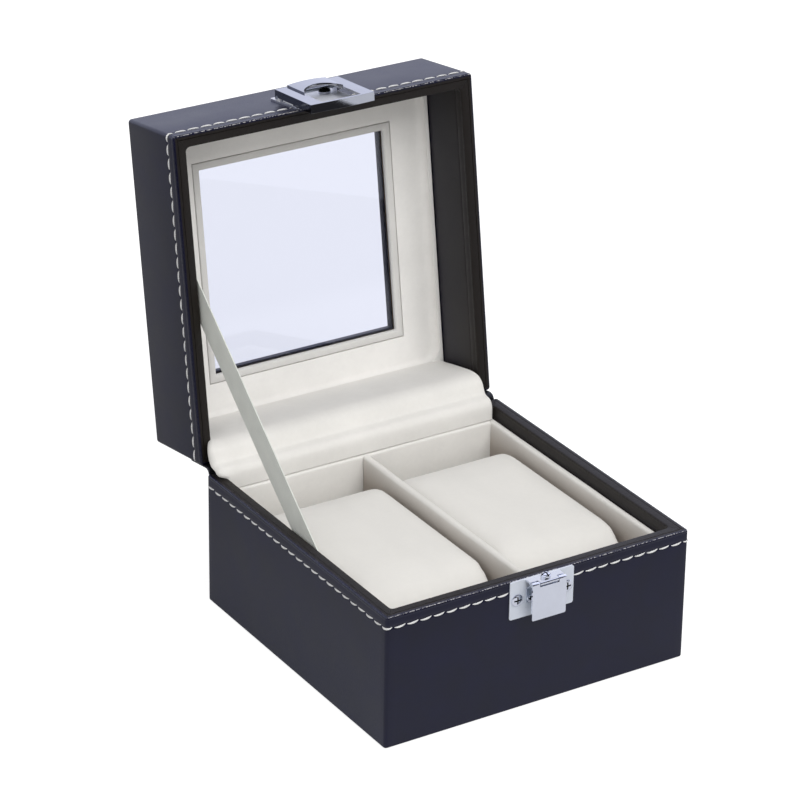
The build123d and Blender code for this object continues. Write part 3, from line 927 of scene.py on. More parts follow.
@dataclass
class Covering:
    """The leatherette on the base and on the lid, with its stitching."""

    box: Box
    finishes: Finishes
    roll: float = 0.8 * MM
    inner_roll: float = 0.8 * MM
    inner_corner: float = 1.7 * MM
    lap_at: float = 1.75 * MM
    lap_half: float = 0.12 * MM
    lap_depth: float = 0.45 * MM
    edge: float = 0.45 * MM
    bottom_turn: float = 12.0 * MM
    pitch: float = 4.75 * MM
    stitch: float = 4.55 * MM
    thread: float = 0.35 * MM
    thread_dive: float = 0.40 * MM
    sag: float = 0.75 * MM
    lap_sway: float = 0.16 * MM
    rim_sway: float = 0.05 * MM
    window_edge: float = 0.7 * MM
    wall_cuts: int = 48
    seed: int = 11

    def case(self, name: str, height: float, turn_in: float) -> bpy.types.Object:
        """An open case of covered board with its rim up, standing on Z = 0.

        Args:
            name: the piece's name.
            height: its height.
            turn_in: how far the leatherette goes down inside.

        Returns:
            The piece, with its floor still closed.
        """
        half = self.box.half
        case = Bench.block(name, (-half.x, -half.y, 0), (half.x, half.y, height))
        steps = (self.lap_at - self.lap_half, self.lap_half, self.lap_half)
        with Bench.editing(case):
            Bench.pick(case, "faces", lambda face: face.normal.z > 0.5)
            for step in (*steps, self.box.skirt - sum(steps)):
                bpy.ops.mesh.inset(thickness=step, use_even_offset=True)
            bpy.ops.mesh.extrude_region_move(TRANSFORM_OT_translate={"value": (0, 0, -turn_in)})
            bpy.ops.mesh.delete(type="FACE")
        return case

    def inset_of(self, point: Vector) -> float:
        """How far inside the outer walls a point lies."""
        return min(self.box.half.x - abs(point.x), self.box.half.y - abs(point.y))

    def round_edges(self, case: bpy.types.Object, height: float) -> None:
        """Rounds a case's corners, rim and far edges.

        Args:
            case: the case, rim up.
            height: its height.
        """
        skirt = self.box.skirt

        def inset(edge: bmesh.types.BMEdge) -> float:
            return self.inset_of((edge.verts[0].co + edge.verts[1].co) / 2)

        def upright(edge: bmesh.types.BMEdge) -> bool:
            span = edge.verts[1].co - edge.verts[0].co
            return abs(span.z) > 2 * MM and abs(span.x) + abs(span.y) < NEAR

        def turned(edge: bmesh.types.BMEdge, at: float) -> bool:
            if not all(abs(vert.co.z - at) < NEAR for vert in edge.verts) or len(edge.link_faces) != 2:
                return False
            rise = sorted(abs(face.normal.z) for face in edge.link_faces)
            return rise[0] < 0.3 and rise[1] > 0.7

        steps = [
            (lambda e: upright(e) and inset(e) < NEAR, self.box.corner, 5),
            (lambda e: upright(e) and abs(inset(e) - skirt) < NEAR, self.inner_corner, 5),
            (lambda e: turned(e, height) and inset(e) < 1.2 * MM, self.roll, 5),
            (lambda e: turned(e, height) and inset(e) > skirt - MM, self.inner_roll, 4),
            (lambda e: turned(e, 0.0) and inset(e) < 1.2 * MM, self.edge, 4),
        ]
        with Bench.editing(case):
            for test, radius, segments in steps:
                Bench.pick(case, "edges", test)
                bpy.ops.mesh.bevel(offset=radius, segments=segments)

    def skin(self, case: bpy.types.Object, height: float) -> None:
        """Divides a case's walls, gives them their thickness and laps the rim.

        Args:
            case: the case, rim up.
            height: its height.
        """
        Bench.outward(case)
        with Bench.editing(case):
            Bench.pick(case, "edges", lambda e: level_edge(e, 40 * MM))
            bpy.ops.mesh.subdivide(number_cuts=self.wall_cuts)
        Bench.apply(case, "SOLIDIFY", "thickness", thickness=self.box.leather, offset=-1.0,
                    use_even_offset=True)
        for vert in case.data.vertices:
            inset = self.inset_of(vert.co)
            if vert.co.z < height - NEAR or inset < self.roll:
                continue
            place = Vector((vert.co.x * 160, vert.co.y * 160, 1.0))
            if abs(inset - self.lap_at) < 0.5 * self.lap_half:
                vert.co.z -= self.lap_depth
            if abs(inset - self.lap_at) < 2 * self.lap_half:
                sway = self.lap_sway * noise.noise(place)
                side = self.box.half.x - abs(vert.co.x) < self.box.half.y - abs(vert.co.y)
                vert.co += Vector((sway, 0, 0)) if side else Vector((0, sway, 0))
            elif inset < self.box.skirt - self.inner_roll:
                vert.co.z += self.rim_sway * noise.noise(place)
        Bench.smooth(case, 50.0)

    def cover(self, case: bpy.types.Object, plan: CasePlan, body: Body, node: str) -> None:
        """Puts a finished covering in its place and dresses it.

        Args:
            case: the covering, where the closed box has it.
            plan: where its rim and seam are.
            body: the body it rides on.
            node: the CAD node it stands for.
        """
        case.data.transform(plan.placed)
        Bench.paint(case, Leatherette().make(case.name, plan))
        self.box.add(case, body, Slot.LEATHER, node)

    def base(self) -> None:
        """The base's covering, turned under the bottom."""
        box = self.box
        height = box.high.z - box.low.z
        case = self.case("base_leatherette", height, self.bottom_turn)
        with Bench.editing(case):
            Bench.pick(case, "faces", lambda face: face.normal.z < -0.5)
            bpy.ops.mesh.inset(thickness=self.bottom_turn, use_even_offset=True)
            bpy.ops.mesh.delete(type="FACE")
        self.round_edges(case, height)
        self.skin(case, height)
        case.data.transform(Matrix.Translation((0, 0, box.low.z)))
        plan = CasePlan(Matrix.Identity(4), box.high.z, -1.0, box.seam_drop, box.half)
        self.cover(case, plan, Body.BASE, "base_leather_wrap")

    def lid(self) -> None:
        """The lid's covering, turned into the window from outside."""
        box = self.box
        glass_top = box.closed_top("window_glass")
        case = self.case("lid_leatherette", box.lid_height, glass_top - box.lid_rim)
        side = 2 * box.half
        window = box.window / 2
        with Bench.editing(case):
            Bench.pick(case, "faces", lambda face: face.normal.z < -0.5)
            reach = (side.y - box.window) / 2
            bpy.ops.mesh.inset(thickness=reach, use_even_offset=True)
            bpy.ops.transform.resize(value=(box.window / (side.x - 2 * reach), 1, 1))
            deep = box.lid_top - glass_top
            bpy.ops.mesh.extrude_region_move(TRANSFORM_OT_translate={"value": (0, 0, deep)})
            bpy.ops.mesh.delete(type="FACE")
            Bench.pick(case, "edges", lambda e: all(
                abs(vert.co.z) < NEAR and max(abs(vert.co.x), abs(vert.co.y)) < window + MM
                for vert in e.verts))
            bpy.ops.mesh.bevel(offset=self.window_edge, segments=4)
        self.round_edges(case, box.lid_height)
        self.skin(case, box.lid_height)
        case.data.transform(Matrix.Translation((0, 0, box.lid_top)) @ Matrix.Rotation(math.pi, 4, "X"))
        plan = CasePlan(box.opened, box.lid_rim, 1.0, box.seam_drop, box.half)
        self.cover(case, plan, Body.LID, "lid_leather_wrap")

    def loop_point(self, distance: float) -> tuple[Vector, Vector]:
        """A point of the seam's loop round the box, and the way it runs there.

        Args:
            distance: how far along the loop, from the middle of the front.

        Returns:
            The point and the unit direction, at Z = 0.
        """
        half, radius = self.box.half, self.box.corner
        straight_x, straight_y = 2 * (half.x - radius), 2 * (half.y - radius)
        arc = math.pi / 2 * radius
        lengths = (straight_x, arc, straight_y, arc, straight_x, arc, straight_y, arc)
        distance = (distance + straight_x / 2) % sum(lengths)
        heading = 0.0
        point = Vector((-straight_x / 2, -half.y, 0))
        for index, length in enumerate(lengths):
            step = min(distance, length)
            forward = Vector((math.cos(heading), math.sin(heading), 0))
            if index % 2 == 0:
                point = point + forward * step
            else:
                centre = point + Vector((-forward.y, forward.x, 0)) * radius
                heading += step / radius
                forward = Vector((math.cos(heading), math.sin(heading), 0))
                point = centre + Vector((forward.y, -forward.x, 0)) * radius
            distance -= step
            if distance <= 1e-9:
                break
        return point, forward

    def stitches(self, name: str, height: float, sag: float, dice: random.Random) -> bpy.types.Object:
        """A loop of stitches round the box at a height.

        Args:
            name: the piece's name.
            height: where the seam lies.
            sag: how far the middle of a stitch hangs towards -Z.
            dice: the source of small differences.

        Returns:
            The piece.
        """
        half, radius = self.box.half, self.box.corner
        loop = 4 * (half.x + half.y) - 8 * radius + 2 * math.pi * radius
        count = round(loop / self.pitch)
        made = []
        for index in range(count):
            Bench.clear()
            bpy.ops.mesh.primitive_uv_sphere_add(segments=8, ring_count=10, radius=1.0)
            one = bpy.context.object
            middle = index * loop / count + dice.uniform(-0.08, 0.08) * MM
            length = self.stitch * dice.uniform(0.94, 1.03)
            hang = sag * dice.uniform(0.75, 1.2)
            thick = self.thread * dice.uniform(0.92, 1.06)
            for vert in one.data.vertices:
                along, around, over = vert.co.z, vert.co.x, vert.co.y
                place, forward = self.loop_point(middle + along * length / 2)
                outward = Vector((forward.y, -forward.x, 0))
                swell = thick * (1.0 - 0.30 * along * along)
                lift = 0.35 * thick - self.thread_dive * along ** 6
                rise = hang * (1.6 * (0.5 * along + 0.15) ** 2 - 0.5)
                vert.co = place + outward * (lift + over * swell * 0.8)
                vert.co.z = height + rise + around * swell
            made.append(one)
        seam = Bench.join(made, name)
        Bench.outward(seam)
        Bench.smooth(seam, 180.0)
        Bench.paint(seam, self.finishes["thread"])
        return seam

    def sew(self) -> None:
        """The stitching round the base and round the lid."""
        box = self.box
        dice = random.Random(self.seed)
        base = self.stitches("base_stitching", box.high.z - box.seam_drop, self.sag, dice)
        box.add(base, Body.BASE, Slot.VELVET)
        lid = self.stitches("lid_stitching", box.lid_rim + box.seam_drop, -self.sag, dice)
        lid.data.transform(box.opened)
        box.add(lid, Body.LID, Slot.VELVET)

    def build(self) -> None:
        """Builds the coverings and their stitching."""
        self.base()
        self.lid()
        self.sew()


# The velvet hinge strip's line in Y and Z, in millimetres, from the lid down to the tray's back wall:
# the padded middle, and the ends where it lies on what carries it
STRIP_MIDDLE = (
    (83.0, 50.9), (78.0, 52.0), (73.0, 53.2), (68.0, 54.3), (63.5, 55.2), (60.0, 55.5),
    (57.6, 55.1), (56.1, 53.8), (55.2, 52.0), (54.2, 50.5), (52.7, 50.0), (51.3, 49.6),
    (50.4, 48.4), (50.2, 46.6), (50.2, 44.8), (50.2, 43.0),
)
STRIP_EDGE = (
    (83.0, 50.2), (78.0, 50.9), (73.0, 51.7), (68.0, 52.4), (63.5, 53.0), (61.0, 53.4),
    (60.4, 52.0), (60.0, 50.5), (59.6, 49.4), (59.0, 48.7), (58.0, 48.2), (56.0, 47.9),
    (54.0, 47.7), (52.0, 47.4), (51.2, 45.0), (51.2, 43.0),
)


@dataclass
class Velvets:
    """The tray, its divider, the lining, the bezel and the velvet hinge strip."""

    box: Box
    finishes: Finishes
    top_round: float = 1.0 * MM
    corner_gap: float = 0.35 * MM
    nap_sway: float = 0.18 * MM
    # The walls that get painted shade lower down, and a gap at their back ends.
    painted_shade_walls: tuple[str, str] = ("tray_divider", "tray_right_wall")
    strip_ends: tuple[float, float] = (-52.3 * MM, 50.7 * MM)
    strip_round: float = 0.9 * MM
    strip_pile: float = 0.9 * MM
    strip_spread: float = 2.8 * MM
    strip_margins: float = 4 * MM
    strip_cells: tuple[int, int] = (76, 72)
    strip_cap: int = 6
    strip_bends: tuple[Sequence[float], Sequence[float]] = ((0, 52 * MM, 50 * MM), (0, 66 * MM, 55 * MM))
    pucker: float = 0.10 * MM
    fold: float = 0.13 * MM

    def padded_wall(self, node: str, top_round: float) -> None:
        """A velvet-covered card wall with a soft top in the place of a plain one.

        Args:
            node: the CAD node it stands for.
            top_round: the rounding of its top edges.
        """
        low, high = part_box(node)
        if node in self.painted_shade_walls:
            high.y -= self.corner_gap
        wall = Bench.block(f"velvet_{node}", low, high)
        with Bench.editing(wall):
            Bench.pick(wall, "edges", lambda e: all(abs(v.co.z - high.z) < NEAR for v in e.verts)
                       and e.calc_length() > 5 * MM)
            bpy.ops.mesh.bevel(offset=top_round, segments=6, clamp_overlap=True)
            bpy.ops.mesh.select_all(action="SELECT")
            bpy.ops.mesh.bisect(plane_co=(0, 0, high.z - 2.5 * MM), plane_no=(0, 0, 1))
        with Bench.editing(wall):
            Bench.pick(wall, "edges", lambda e: level_edge(e, 20 * MM))
            bpy.ops.mesh.subdivide(number_cuts=24)
        for vert in wall.data.vertices:
            sway = noise.noise(Vector((vert.co.x * 55, vert.co.y * 55, 7.0)))
            near_top = smoothstep(1 - (high.z - vert.co.z) / (3 * MM))
            vert.co.z += near_top * sway * self.nap_sway
        Bench.smooth(wall, 60.0)
        # These walls take the velvet with painted shade.
        Bench.paint(wall, self.finishes["wall" if node in self.painted_shade_walls else "velvet"])
        self.box.add(wall, Body.BASE, Slot.VELVET, node)

    def tray(self) -> None:
        """The tray's walls and divider."""
        for node in ("tray_front_wall", "tray_back_wall", "tray_right_wall"):
            self.padded_wall(node, self.top_round)
        self.padded_wall("tray_divider", self.top_round * 1.1)

    def soft_copy(self, node: str, finish: str, width: float, body: Body) -> None:
        """A copy of a rigid velvet node with its sharp edges softened.

        Args:
            node: the CAD node.
            finish: the name of its finish.
            width: the rounding of its edges.
            body: the body it rides on.
        """
        piece = eased_copy(self.box.node(node), f"velvet_{node}", width)
        Bench.paint(piece, self.finishes[finish])
        self.box.add(piece, body, Slot.VELVET, node)

    def strip(self) -> None:
        """The padded velvet strip over the hinge, arched from the lid to the tray's back."""
        across, rows = self.strip_cells
        cap = self.strip_cap
        lines = [smooth_line([Vector((0, y * MM, z * MM)) for y, z in points], rows)
                 for points in (STRIP_MIDDLE, STRIP_EDGE)]
        strip = Bench.sheet("velvet_hinge_strip", across, rows)
        left, right = self.strip_ends
        for vert in strip.data.vertices:
            column, row = round((vert.co.x + 0.5) * across), round((vert.co.y + 0.5) * rows)
            fall = max(cap - column, column - across + cap, 0) / cap
            flat = min(max((column - cap) / (across - 2 * cap), 0.0), 1.0)
            bulge = self.strip_round * math.sin(fall * math.pi / 2)
            x = left + self.strip_round + flat * (right - left - 2 * self.strip_round)
            x += math.copysign(bulge, flat - 0.5)
            along = row / rows
            pucker = self.pucker * noise.noise(Vector((x * 45, along * 3.0, 2.0)))
            folds = self.fold * math.sin(along * 38.0) * smoothstep((along - 0.45) * 6)
            folds *= 0.6 + 0.4 * noise.noise(Vector((x * 30, along * 6.0, 5.0)))
            drop = (1.0 - math.cos(fall * math.pi / 2)) * (0.25 if flat < 0.5 else 1.0)
            place = lines[0][row].lerp(lines[1][row], drop)
            over_rim = smoothstep((63 * MM - place.y) / (7 * MM))
            over_rim *= smoothstep((place.z - 47.3 * MM) / (1.5 * MM))
            x -= self.strip_spread * over_rim * (1.0 - smoothstep(flat * 12))
            vert.co = place + Vector((x, 0, (pucker + folds) * (1.0 - fall)))
        Bench.apply(strip, "SOLIDIFY", "pile", thickness=self.strip_pile, offset=-1.0)
        Bench.outward(strip)
        Bench.smooth(strip, 70.0)
        Bench.paint(strip, self.finishes["velvet"])
        run = sum((b - a).length for a, b in zip(lines[0], lines[0][1:]))
        self.box.bend(strip, Slot.VELVET, *self.strip_bends, "hinge_velvet_strip")

    def build(self) -> None:
        """Builds every velvet piece but the cushions."""
        self.tray()
        self.soft_copy("tray_left_wall", "velvet", 0.15 * MM, Body.BASE)
        self.soft_copy("lid_lining", "lining", 0.35 * MM, Body.LID)
        self.soft_copy("window_bezel", "bezel", 0.25 * MM, Body.LID)
        self.strip()


def smooth_line(points: Sequence[Vector], count: int) -> list[Vector]:
    """A smooth line through points, at even steps.

    Args:
        points: what it passes.
        count: how many steps it has.

    Returns:
        The line's points.
    """
    dense = []
    for index in range(len(points) - 1):
        before = points[max(index - 1, 0)]
        start, end = points[index], points[index + 1]
        after = points[min(index + 2, len(points) - 1)]
        for step in range(12):
            t = step / 12
            dense.append(0.5 * ((2 * start) + (end - before) * t
                                + (2 * before - 5 * start + 4 * end - after) * t * t
                                + (3 * start - before - 3 * end + after) * t * t * t))
    dense.append(points[-1].copy())
    lengths = [0.0]
    for a, b in zip(dense, dense[1:]):
        lengths.append(lengths[-1] + (b - a).length)
    line, at = [], 0
    for index in range(count + 1):
        want = lengths[-1] * index / count
        while at < len(dense) - 2 and lengths[at + 1] < want:
            at += 1
        span = max(lengths[at + 1] - lengths[at], 1e-12)
        line.append(dense[at].lerp(dense[at + 1], min(max((want - lengths[at]) / span, 0), 1)))
    return line


def eased_copy(node: bpy.types.Object, name: str, width: float) -> bpy.types.Object:
    """A copy of a CAD node with its flat faces cleaned and its edges eased.

    Args:
        node: the CAD node's object.
        name: the copy's name.
        width: the width of the eased edge.

    Returns:
        The copy.
    """
    piece = Bench.copy(node, name)
    Bench.outward(piece)
    with Bench.editing(piece):
        bpy.ops.mesh.select_all(action="SELECT")
        bpy.ops.mesh.dissolve_limited(angle_limit=math.radians(1.0))
    Bench.ease(piece, width)
    Bench.smooth(piece, 30.0)
    return piece


@dataclass
class Cushions:
    """The two lift-out cushions, swollen by cloth simulation."""

    box: Box
    finishes: Finishes
    shrink: float = 0.5 * MM
    cap: float = 1.6 * MM
    round_share: float = 0.46
    side_margin: float = 2.5 * MM
    edge: float = 1.1 * MM
    cell: float = 1.9 * MM
    pressure: float = 4.0
    stiffness: float = 40.0
    bending: float = 2.0
    frames: int = 20

    def shape(self, name: str, node: str) -> bpy.types.Object:
        """The unswollen pad: a block with full-round ends.

        Args:
            name: the piece's name.
            node: the CAD node it stands for.

        Returns:
            The piece.
        """
        low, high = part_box(node)
        inset = Vector((self.shrink,) * 3)
        low, high = low + inset, high - inset
        pad = Bench.block(name, low, high)
        with Bench.editing(pad):
            Bench.pick(pad, "edges", lambda e: abs(e.verts[0].co.x - e.verts[1].co.x) > 5 * MM)
            bpy.ops.mesh.bevel(offset=(high.z - low.z) * self.round_share, segments=14)
        with Bench.editing(pad):
            Bench.pick(pad, "faces", lambda face: abs(face.normal.x) > 0.9)
            bpy.ops.mesh.inset(thickness=self.side_margin, use_even_offset=True)
        Bench.outward(pad)
        Bench.ease(pad, self.edge, 3, 40.0)
        return pad

    def swell(self, pad: bpy.types.Object) -> None:
        """Blows a pad up with cloth pressure, capped, and applies the result."""
        Bench.apply(pad, "REMESH", "even", mode="VOXEL", voxel_size=self.cell, use_smooth_shade=True)
        start = [vert.co.copy() for vert in pad.data.vertices]
        Bench.take(pad)
        cloth = pad.modifiers.new("swell", "CLOTH")
        cloth.settings.use_pressure = True
        cloth.settings.uniform_pressure_force = self.pressure
        cloth.settings.tension_stiffness = self.stiffness
        cloth.settings.compression_stiffness = self.stiffness
        cloth.settings.bending_stiffness = self.bending
        cloth.settings.effector_weights.gravity = 0.0
        for frame in range(1, self.frames + 1):
            bpy.context.scene.frame_set(frame)
        bpy.ops.object.modifier_apply(modifier=cloth.name)
        bpy.context.scene.frame_set(1)
        for vert, was in zip(pad.data.vertices, start):
            move = vert.co - was
            if move.length > self.cap:
                vert.co = was + move.normalized() * self.cap
        Bench.apply(pad, "SMOOTH", "relax", factor=0.5, iterations=2)
        Bench.apply(pad, "SUBSURF", "fine", levels=1, render_levels=1)

    def build(self) -> None:
        """Builds both cushions."""
        for node, body in (("cushion_left", Body.LEFT_CUSHION), ("cushion_right", Body.RIGHT_CUSHION)):
            low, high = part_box(node)
            pad = self.shape(f"velvet_{node}", node)
            self.swell(pad)
            for vert in pad.data.vertices:
                for axis in range(3):
                    vert.co[axis] = min(max(vert.co[axis], low[axis]), high[axis])
            Bench.smooth(pad, 180.0)
            Bench.paint(pad, self.finishes["cushion"])
            self.box.add(pad, body, Slot.CUSHION, node)


@dataclass
class HingeAndStay:
    """The leatherette hinge strip and the ribbon."""

    box: Box
    finishes: Finishes
    edge: float = 0.2 * MM
    cell: float = 0.35 * MM
    share_kept: float = 0.12
    sewn_end: float = 8 * MM
    ribbon_wide: float = 10.0 * MM
    ribbon_thick: float = 0.35 * MM
    curl: float = 0.10 * MM
    ripple: float = 0.05 * MM

    def leather_strip(self) -> None:
        """The strip behind the hinge, from the base's back to the lid's back."""
        node = self.box.node("hinge_leather_strip")
        strip = eased_copy(node, "leatherette_hinge_strip", self.edge)
        with Bench.editing(strip):
            bpy.ops.mesh.select_all(action="SELECT")
            bpy.ops.mesh.quads_convert_to_tris()
        Bench.apply(strip, "REMESH", "even", mode="VOXEL", voxel_size=self.cell, use_smooth_shade=True)
        Bench.apply(strip, "DECIMATE", "lighter", ratio=self.share_kept)
        Bench.smooth(strip, 180.0)
        # The strip's leatherette is the neutral copy, as painted shade.
        Bench.paint(strip, self.finishes["leather"])
        high = self.box.high
        start, end = (0, high.y, high.z - 4 * MM), (0, high.y + 5 * MM, high.z + 2 * MM)
        self.box.bend(strip, Slot.LEATHER, start, end, "hinge_leather_strip")

    def ribbon(self) -> None:
        """The taut ribbon that stays the lid."""
        low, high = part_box("stay_ribbon")
        verts = [vert.co for vert in self.box.node("stay_ribbon").data.vertices]
        bottom = [v for v in verts if v.z < low.z + self.sewn_end]
        top = [v for v in verts if v.z > high.z - self.sewn_end]
        start = sum(bottom, Vector()) / len(bottom)
        end = sum(top, Vector()) / len(top)
        run = (end - start).normalized()
        over = Vector((0, -run.z, run.y))
        wide, length = self.ribbon_wide, (end - start).length
        ribbon = Bench.sheet("stay_ribbon_cloth", 80, 10)
        cloth = ribbon.data.uv_layers.new(name="cloth")
        for loop in ribbon.data.loops:
            flat = ribbon.data.vertices[loop.vertex_index].co
            cloth.data[loop.index].uv = ((flat.x + 0.5) * length, (flat.y + 0.5) * wide)
        for vert in ribbon.data.vertices:
            along, side = vert.co.x + 0.5, vert.co.y
            curl = self.curl * (abs(side) * 2) ** 3
            ripple = self.ripple * noise.noise(Vector((along * 9, side * 2, 1)))
            vert.co = start.lerp(end, along) + over * side * wide + Vector((curl + ripple, 0, 0))
        Bench.apply(ribbon, "SOLIDIFY", "cloth", thickness=self.ribbon_thick, offset=0.0)
        Bench.outward(ribbon)
        Bench.smooth(ribbon, 60.0)
        Bench.paint(ribbon, self.finishes["ribbon"])
        self.box.bend(ribbon, Slot.RIBBON, start.lerp(end, 0.2), start.lerp(end, 0.9), "stay_ribbon")

    def build(self) -> None:
        """Builds both."""
        self.leather_strip()
        self.ribbon()


# Painted shade for the side faces of the flap and its hood, which face away from the light.
PAINTED_SHADE_SIDE = (0.12, 0.13, 0.16)
SATIN_SHELF = (0.62, 0.62, 0.60)
SATIN_PLATE = (0.68, 0.72, 0.80)
SATIN_HASP = (0.76, 0.78, 0.84)
RAW_TONGUE = (0.90, 0.95, 1.00)
RAW_FLAP = (0.78, 0.80, 0.86)


@dataclass
class Hardware:
    """The chrome catch and hasp: eased copies of the exact parts, finished one by one."""

    box: Box
    finishes: Finishes
    flap_pin: tuple[float, float] = (-58.5 * MM, 58.0 * MM)
    flap_tilt: float = 2.7
    flange_x: tuple[float, float] = (11.2 * MM, 12.05 * MM)
    flange_y: tuple[float, float] = (-22.0 * MM, -3.9 * MM)
    flange_z: tuple[float, float] = (-0.45 * MM, 2.0 * MM)
    head_stretch: float = 3.2
    plate_lower: float = 1.0 * MM
    tongue_longer: float = 0.8 * MM
    tongue_bend: float = 37 * MM
    plate_front: float = 0.8 * MM
    plate_end: float = 3 * MM
    flange_edge: float = 0.14 * MM

    @property
    def stand(self) -> Matrix:
        """Takes the flap from lying flat, with its pin as origin, to the open lid."""
        pin = Matrix.Translation((0, *self.flap_pin))
        return self.box.opened @ pin @ Matrix.Rotation(math.radians(90 + self.flap_tilt), 4, "X")

    def dulls(self) -> dict[str, list[Dull]]:
        """The places on each piece that aren't bright."""
        front, up, back, side = (0, -1, 0), (0, 0, 1), (0, 1, 0), (1, 0, 0)
        wall = -self.box.half.y / MM
        lid = {"placed": self.box.opened}
        flap = {"placed": self.stand}
        slot, skin = (-0.3, 0.10), (-0.05, 0.3)
        return {
            "strike_plate": [
                Dull((0, -58.0, 46.9), up, 16.0, (-0.15, 0.3), SATIN_SHELF, 0.08),
                Dull((0, wall - 0.6, 40.0), front, 16.0, (-0.3, 0.3), SATIN_PLATE, 0.30, 0.9),
            ],
            # Painted shade in the slots of the screws, the rivets and the stud.
            "strike_screws": [Dull((9.4, wall - 0.98, 40.3), front, 1.4, slot)],
            "catch_rivets": [Dull((4.7, wall - 1.23, 40.0), front, 0.85, slot)],
            "catch_stud": [Dull((0, -58.45, 47.67), up, 1.48, (-0.2, 0.44))],
            "catch_tongue": [Dull((0, -60.2, 40.0), back, 12.0, (-0.05, 0.2), RAW_TONGUE, 0.50, 1.0)],
            # Painted dark reflection: the hasp screws' domes are dark above their lower rim.
            "hasp_screws": [Dull((5.6, wall - 0.8, 57.3), front, 2.3, (0.8, 9.0), **lid)],
            "hasp_plate": [Dull((0, wall - 0.8, 57.0), front, 16.0, skin, SATIN_HASP, 0.1, 0.8, **lid)],
            "hasp_flap": [
                # Painted shade on the flap's side faces and the hood's sides.
                Dull((12.05, 0, 0), side, 1000.0, (-0.12, 1.0), PAINTED_SHADE_SIDE, 0.1, **flap),
                Dull((7.3, 0, 0), side, 10.3, (-0.12, 0.16), PAINTED_SHADE_SIDE, 0.1, **flap),
                Dull((0, 0.4, -27.4), back, 30.0, (-11.0, 0.06), RAW_FLAP, 0.5, 1.0, **flap),
            ],
        }

    def reshape(self, node: str, piece: bpy.types.Object) -> bpy.types.Object:
        """Finishes the shape of a piece.

        Args:
            node: the CAD node it stands for.
            piece: the eased copy.

        Returns:
            The piece.
        """
        if node == "catch_tongue":
            for vert in piece.data.vertices:
                if vert.co.z < self.tongue_bend:
                    vert.co.z -= self.tongue_longer
        if node == "hasp_flap":
            piece = Bench.join([piece, *self.flanges()], piece.name)
        if node in ("hasp_screws", "hasp_plate"):
            back = self.box.opened.inverted()
            seat = -self.box.half.y - self.plate_front
            for vert in piece.data.vertices:
                closed = back @ vert.co
                if node == "hasp_screws" and closed.y < seat:
                    closed.y = seat + (closed.y - seat) * self.head_stretch
                if node == "hasp_plate" and closed.z < self.box.lid_rim + self.plate_end:
                    closed.z -= self.plate_lower
                vert.co = self.box.opened @ closed
        return piece

    def flanges(self) -> list[bpy.types.Object]:
        """The flap's turned-down sides, where the open lid has them."""
        made = []
        for side in (-1, 1):
            ends = sorted(side * x for x in self.flange_x)
            low = (ends[0], self.flange_y[0], self.flange_z[0])
            high = (ends[1], self.flange_y[1], self.flange_z[1])
            flange = Bench.block("flange", low, high)
            Bench.ease(flange, self.flange_edge)
            flange.data.transform(self.stand)
            made.append(flange)
        return made

    def build(self) -> None:
        """Eases, reshapes and dresses every metal piece."""
        pieces = {
            "strike_plate": (Body.BASE, "chrome", 0.12), "catch_tongue": (Body.TONGUE, "chrome", 0.12),
            "catch_stud": (Body.BASE, "chrome", 0.08), "strike_screws": (Body.BASE, "chrome", 0.08),
            "catch_rivets": (Body.BASE, "chrome", 0.06), "hasp_plate": (Body.LID, "satin", 0.12),
            # The hasp flap takes the darkened metal, a painted reflection.
            "hasp_screws": (Body.LID, "satin", 0.08), "hasp_flap": (Body.FLAP, "nickel", 0.14),
        }
        dulls = self.dulls()
        for node, (body, metal, width) in pieces.items():
            piece = self.reshape(node, eased_copy(self.box.node(node), f"chrome_{node}", width * MM))
            Bench.smooth(piece, 30.0)
            Bench.level(piece)
            Bench.paint(piece, self.finishes.metals[metal].make(f"{metal}_{node}", dulls[node]))
            self.box.add(piece, body, Slot.CHROME, node)


@dataclass
class Plain:
    """CAD nodes whose shape is right, which only get their finish."""

    box: Box
    finishes: Finishes

    def build(self) -> None:
        """Paints the nodes that stay."""
        finish = {
            "board": [name for name in self.box.frame["nodes"] if name.endswith("_board")],
            "felt": ["base_bottom_sheet"],
            "velvet": ["tray_floor"],
            "steel": ["catch_spring", "catch_pin", "hasp_pin"],
            "glass": ["window_glass"],
        }
        for name, nodes in finish.items():
            for node in nodes:
                Bench.paint(self.box.node(node), self.finishes[name])


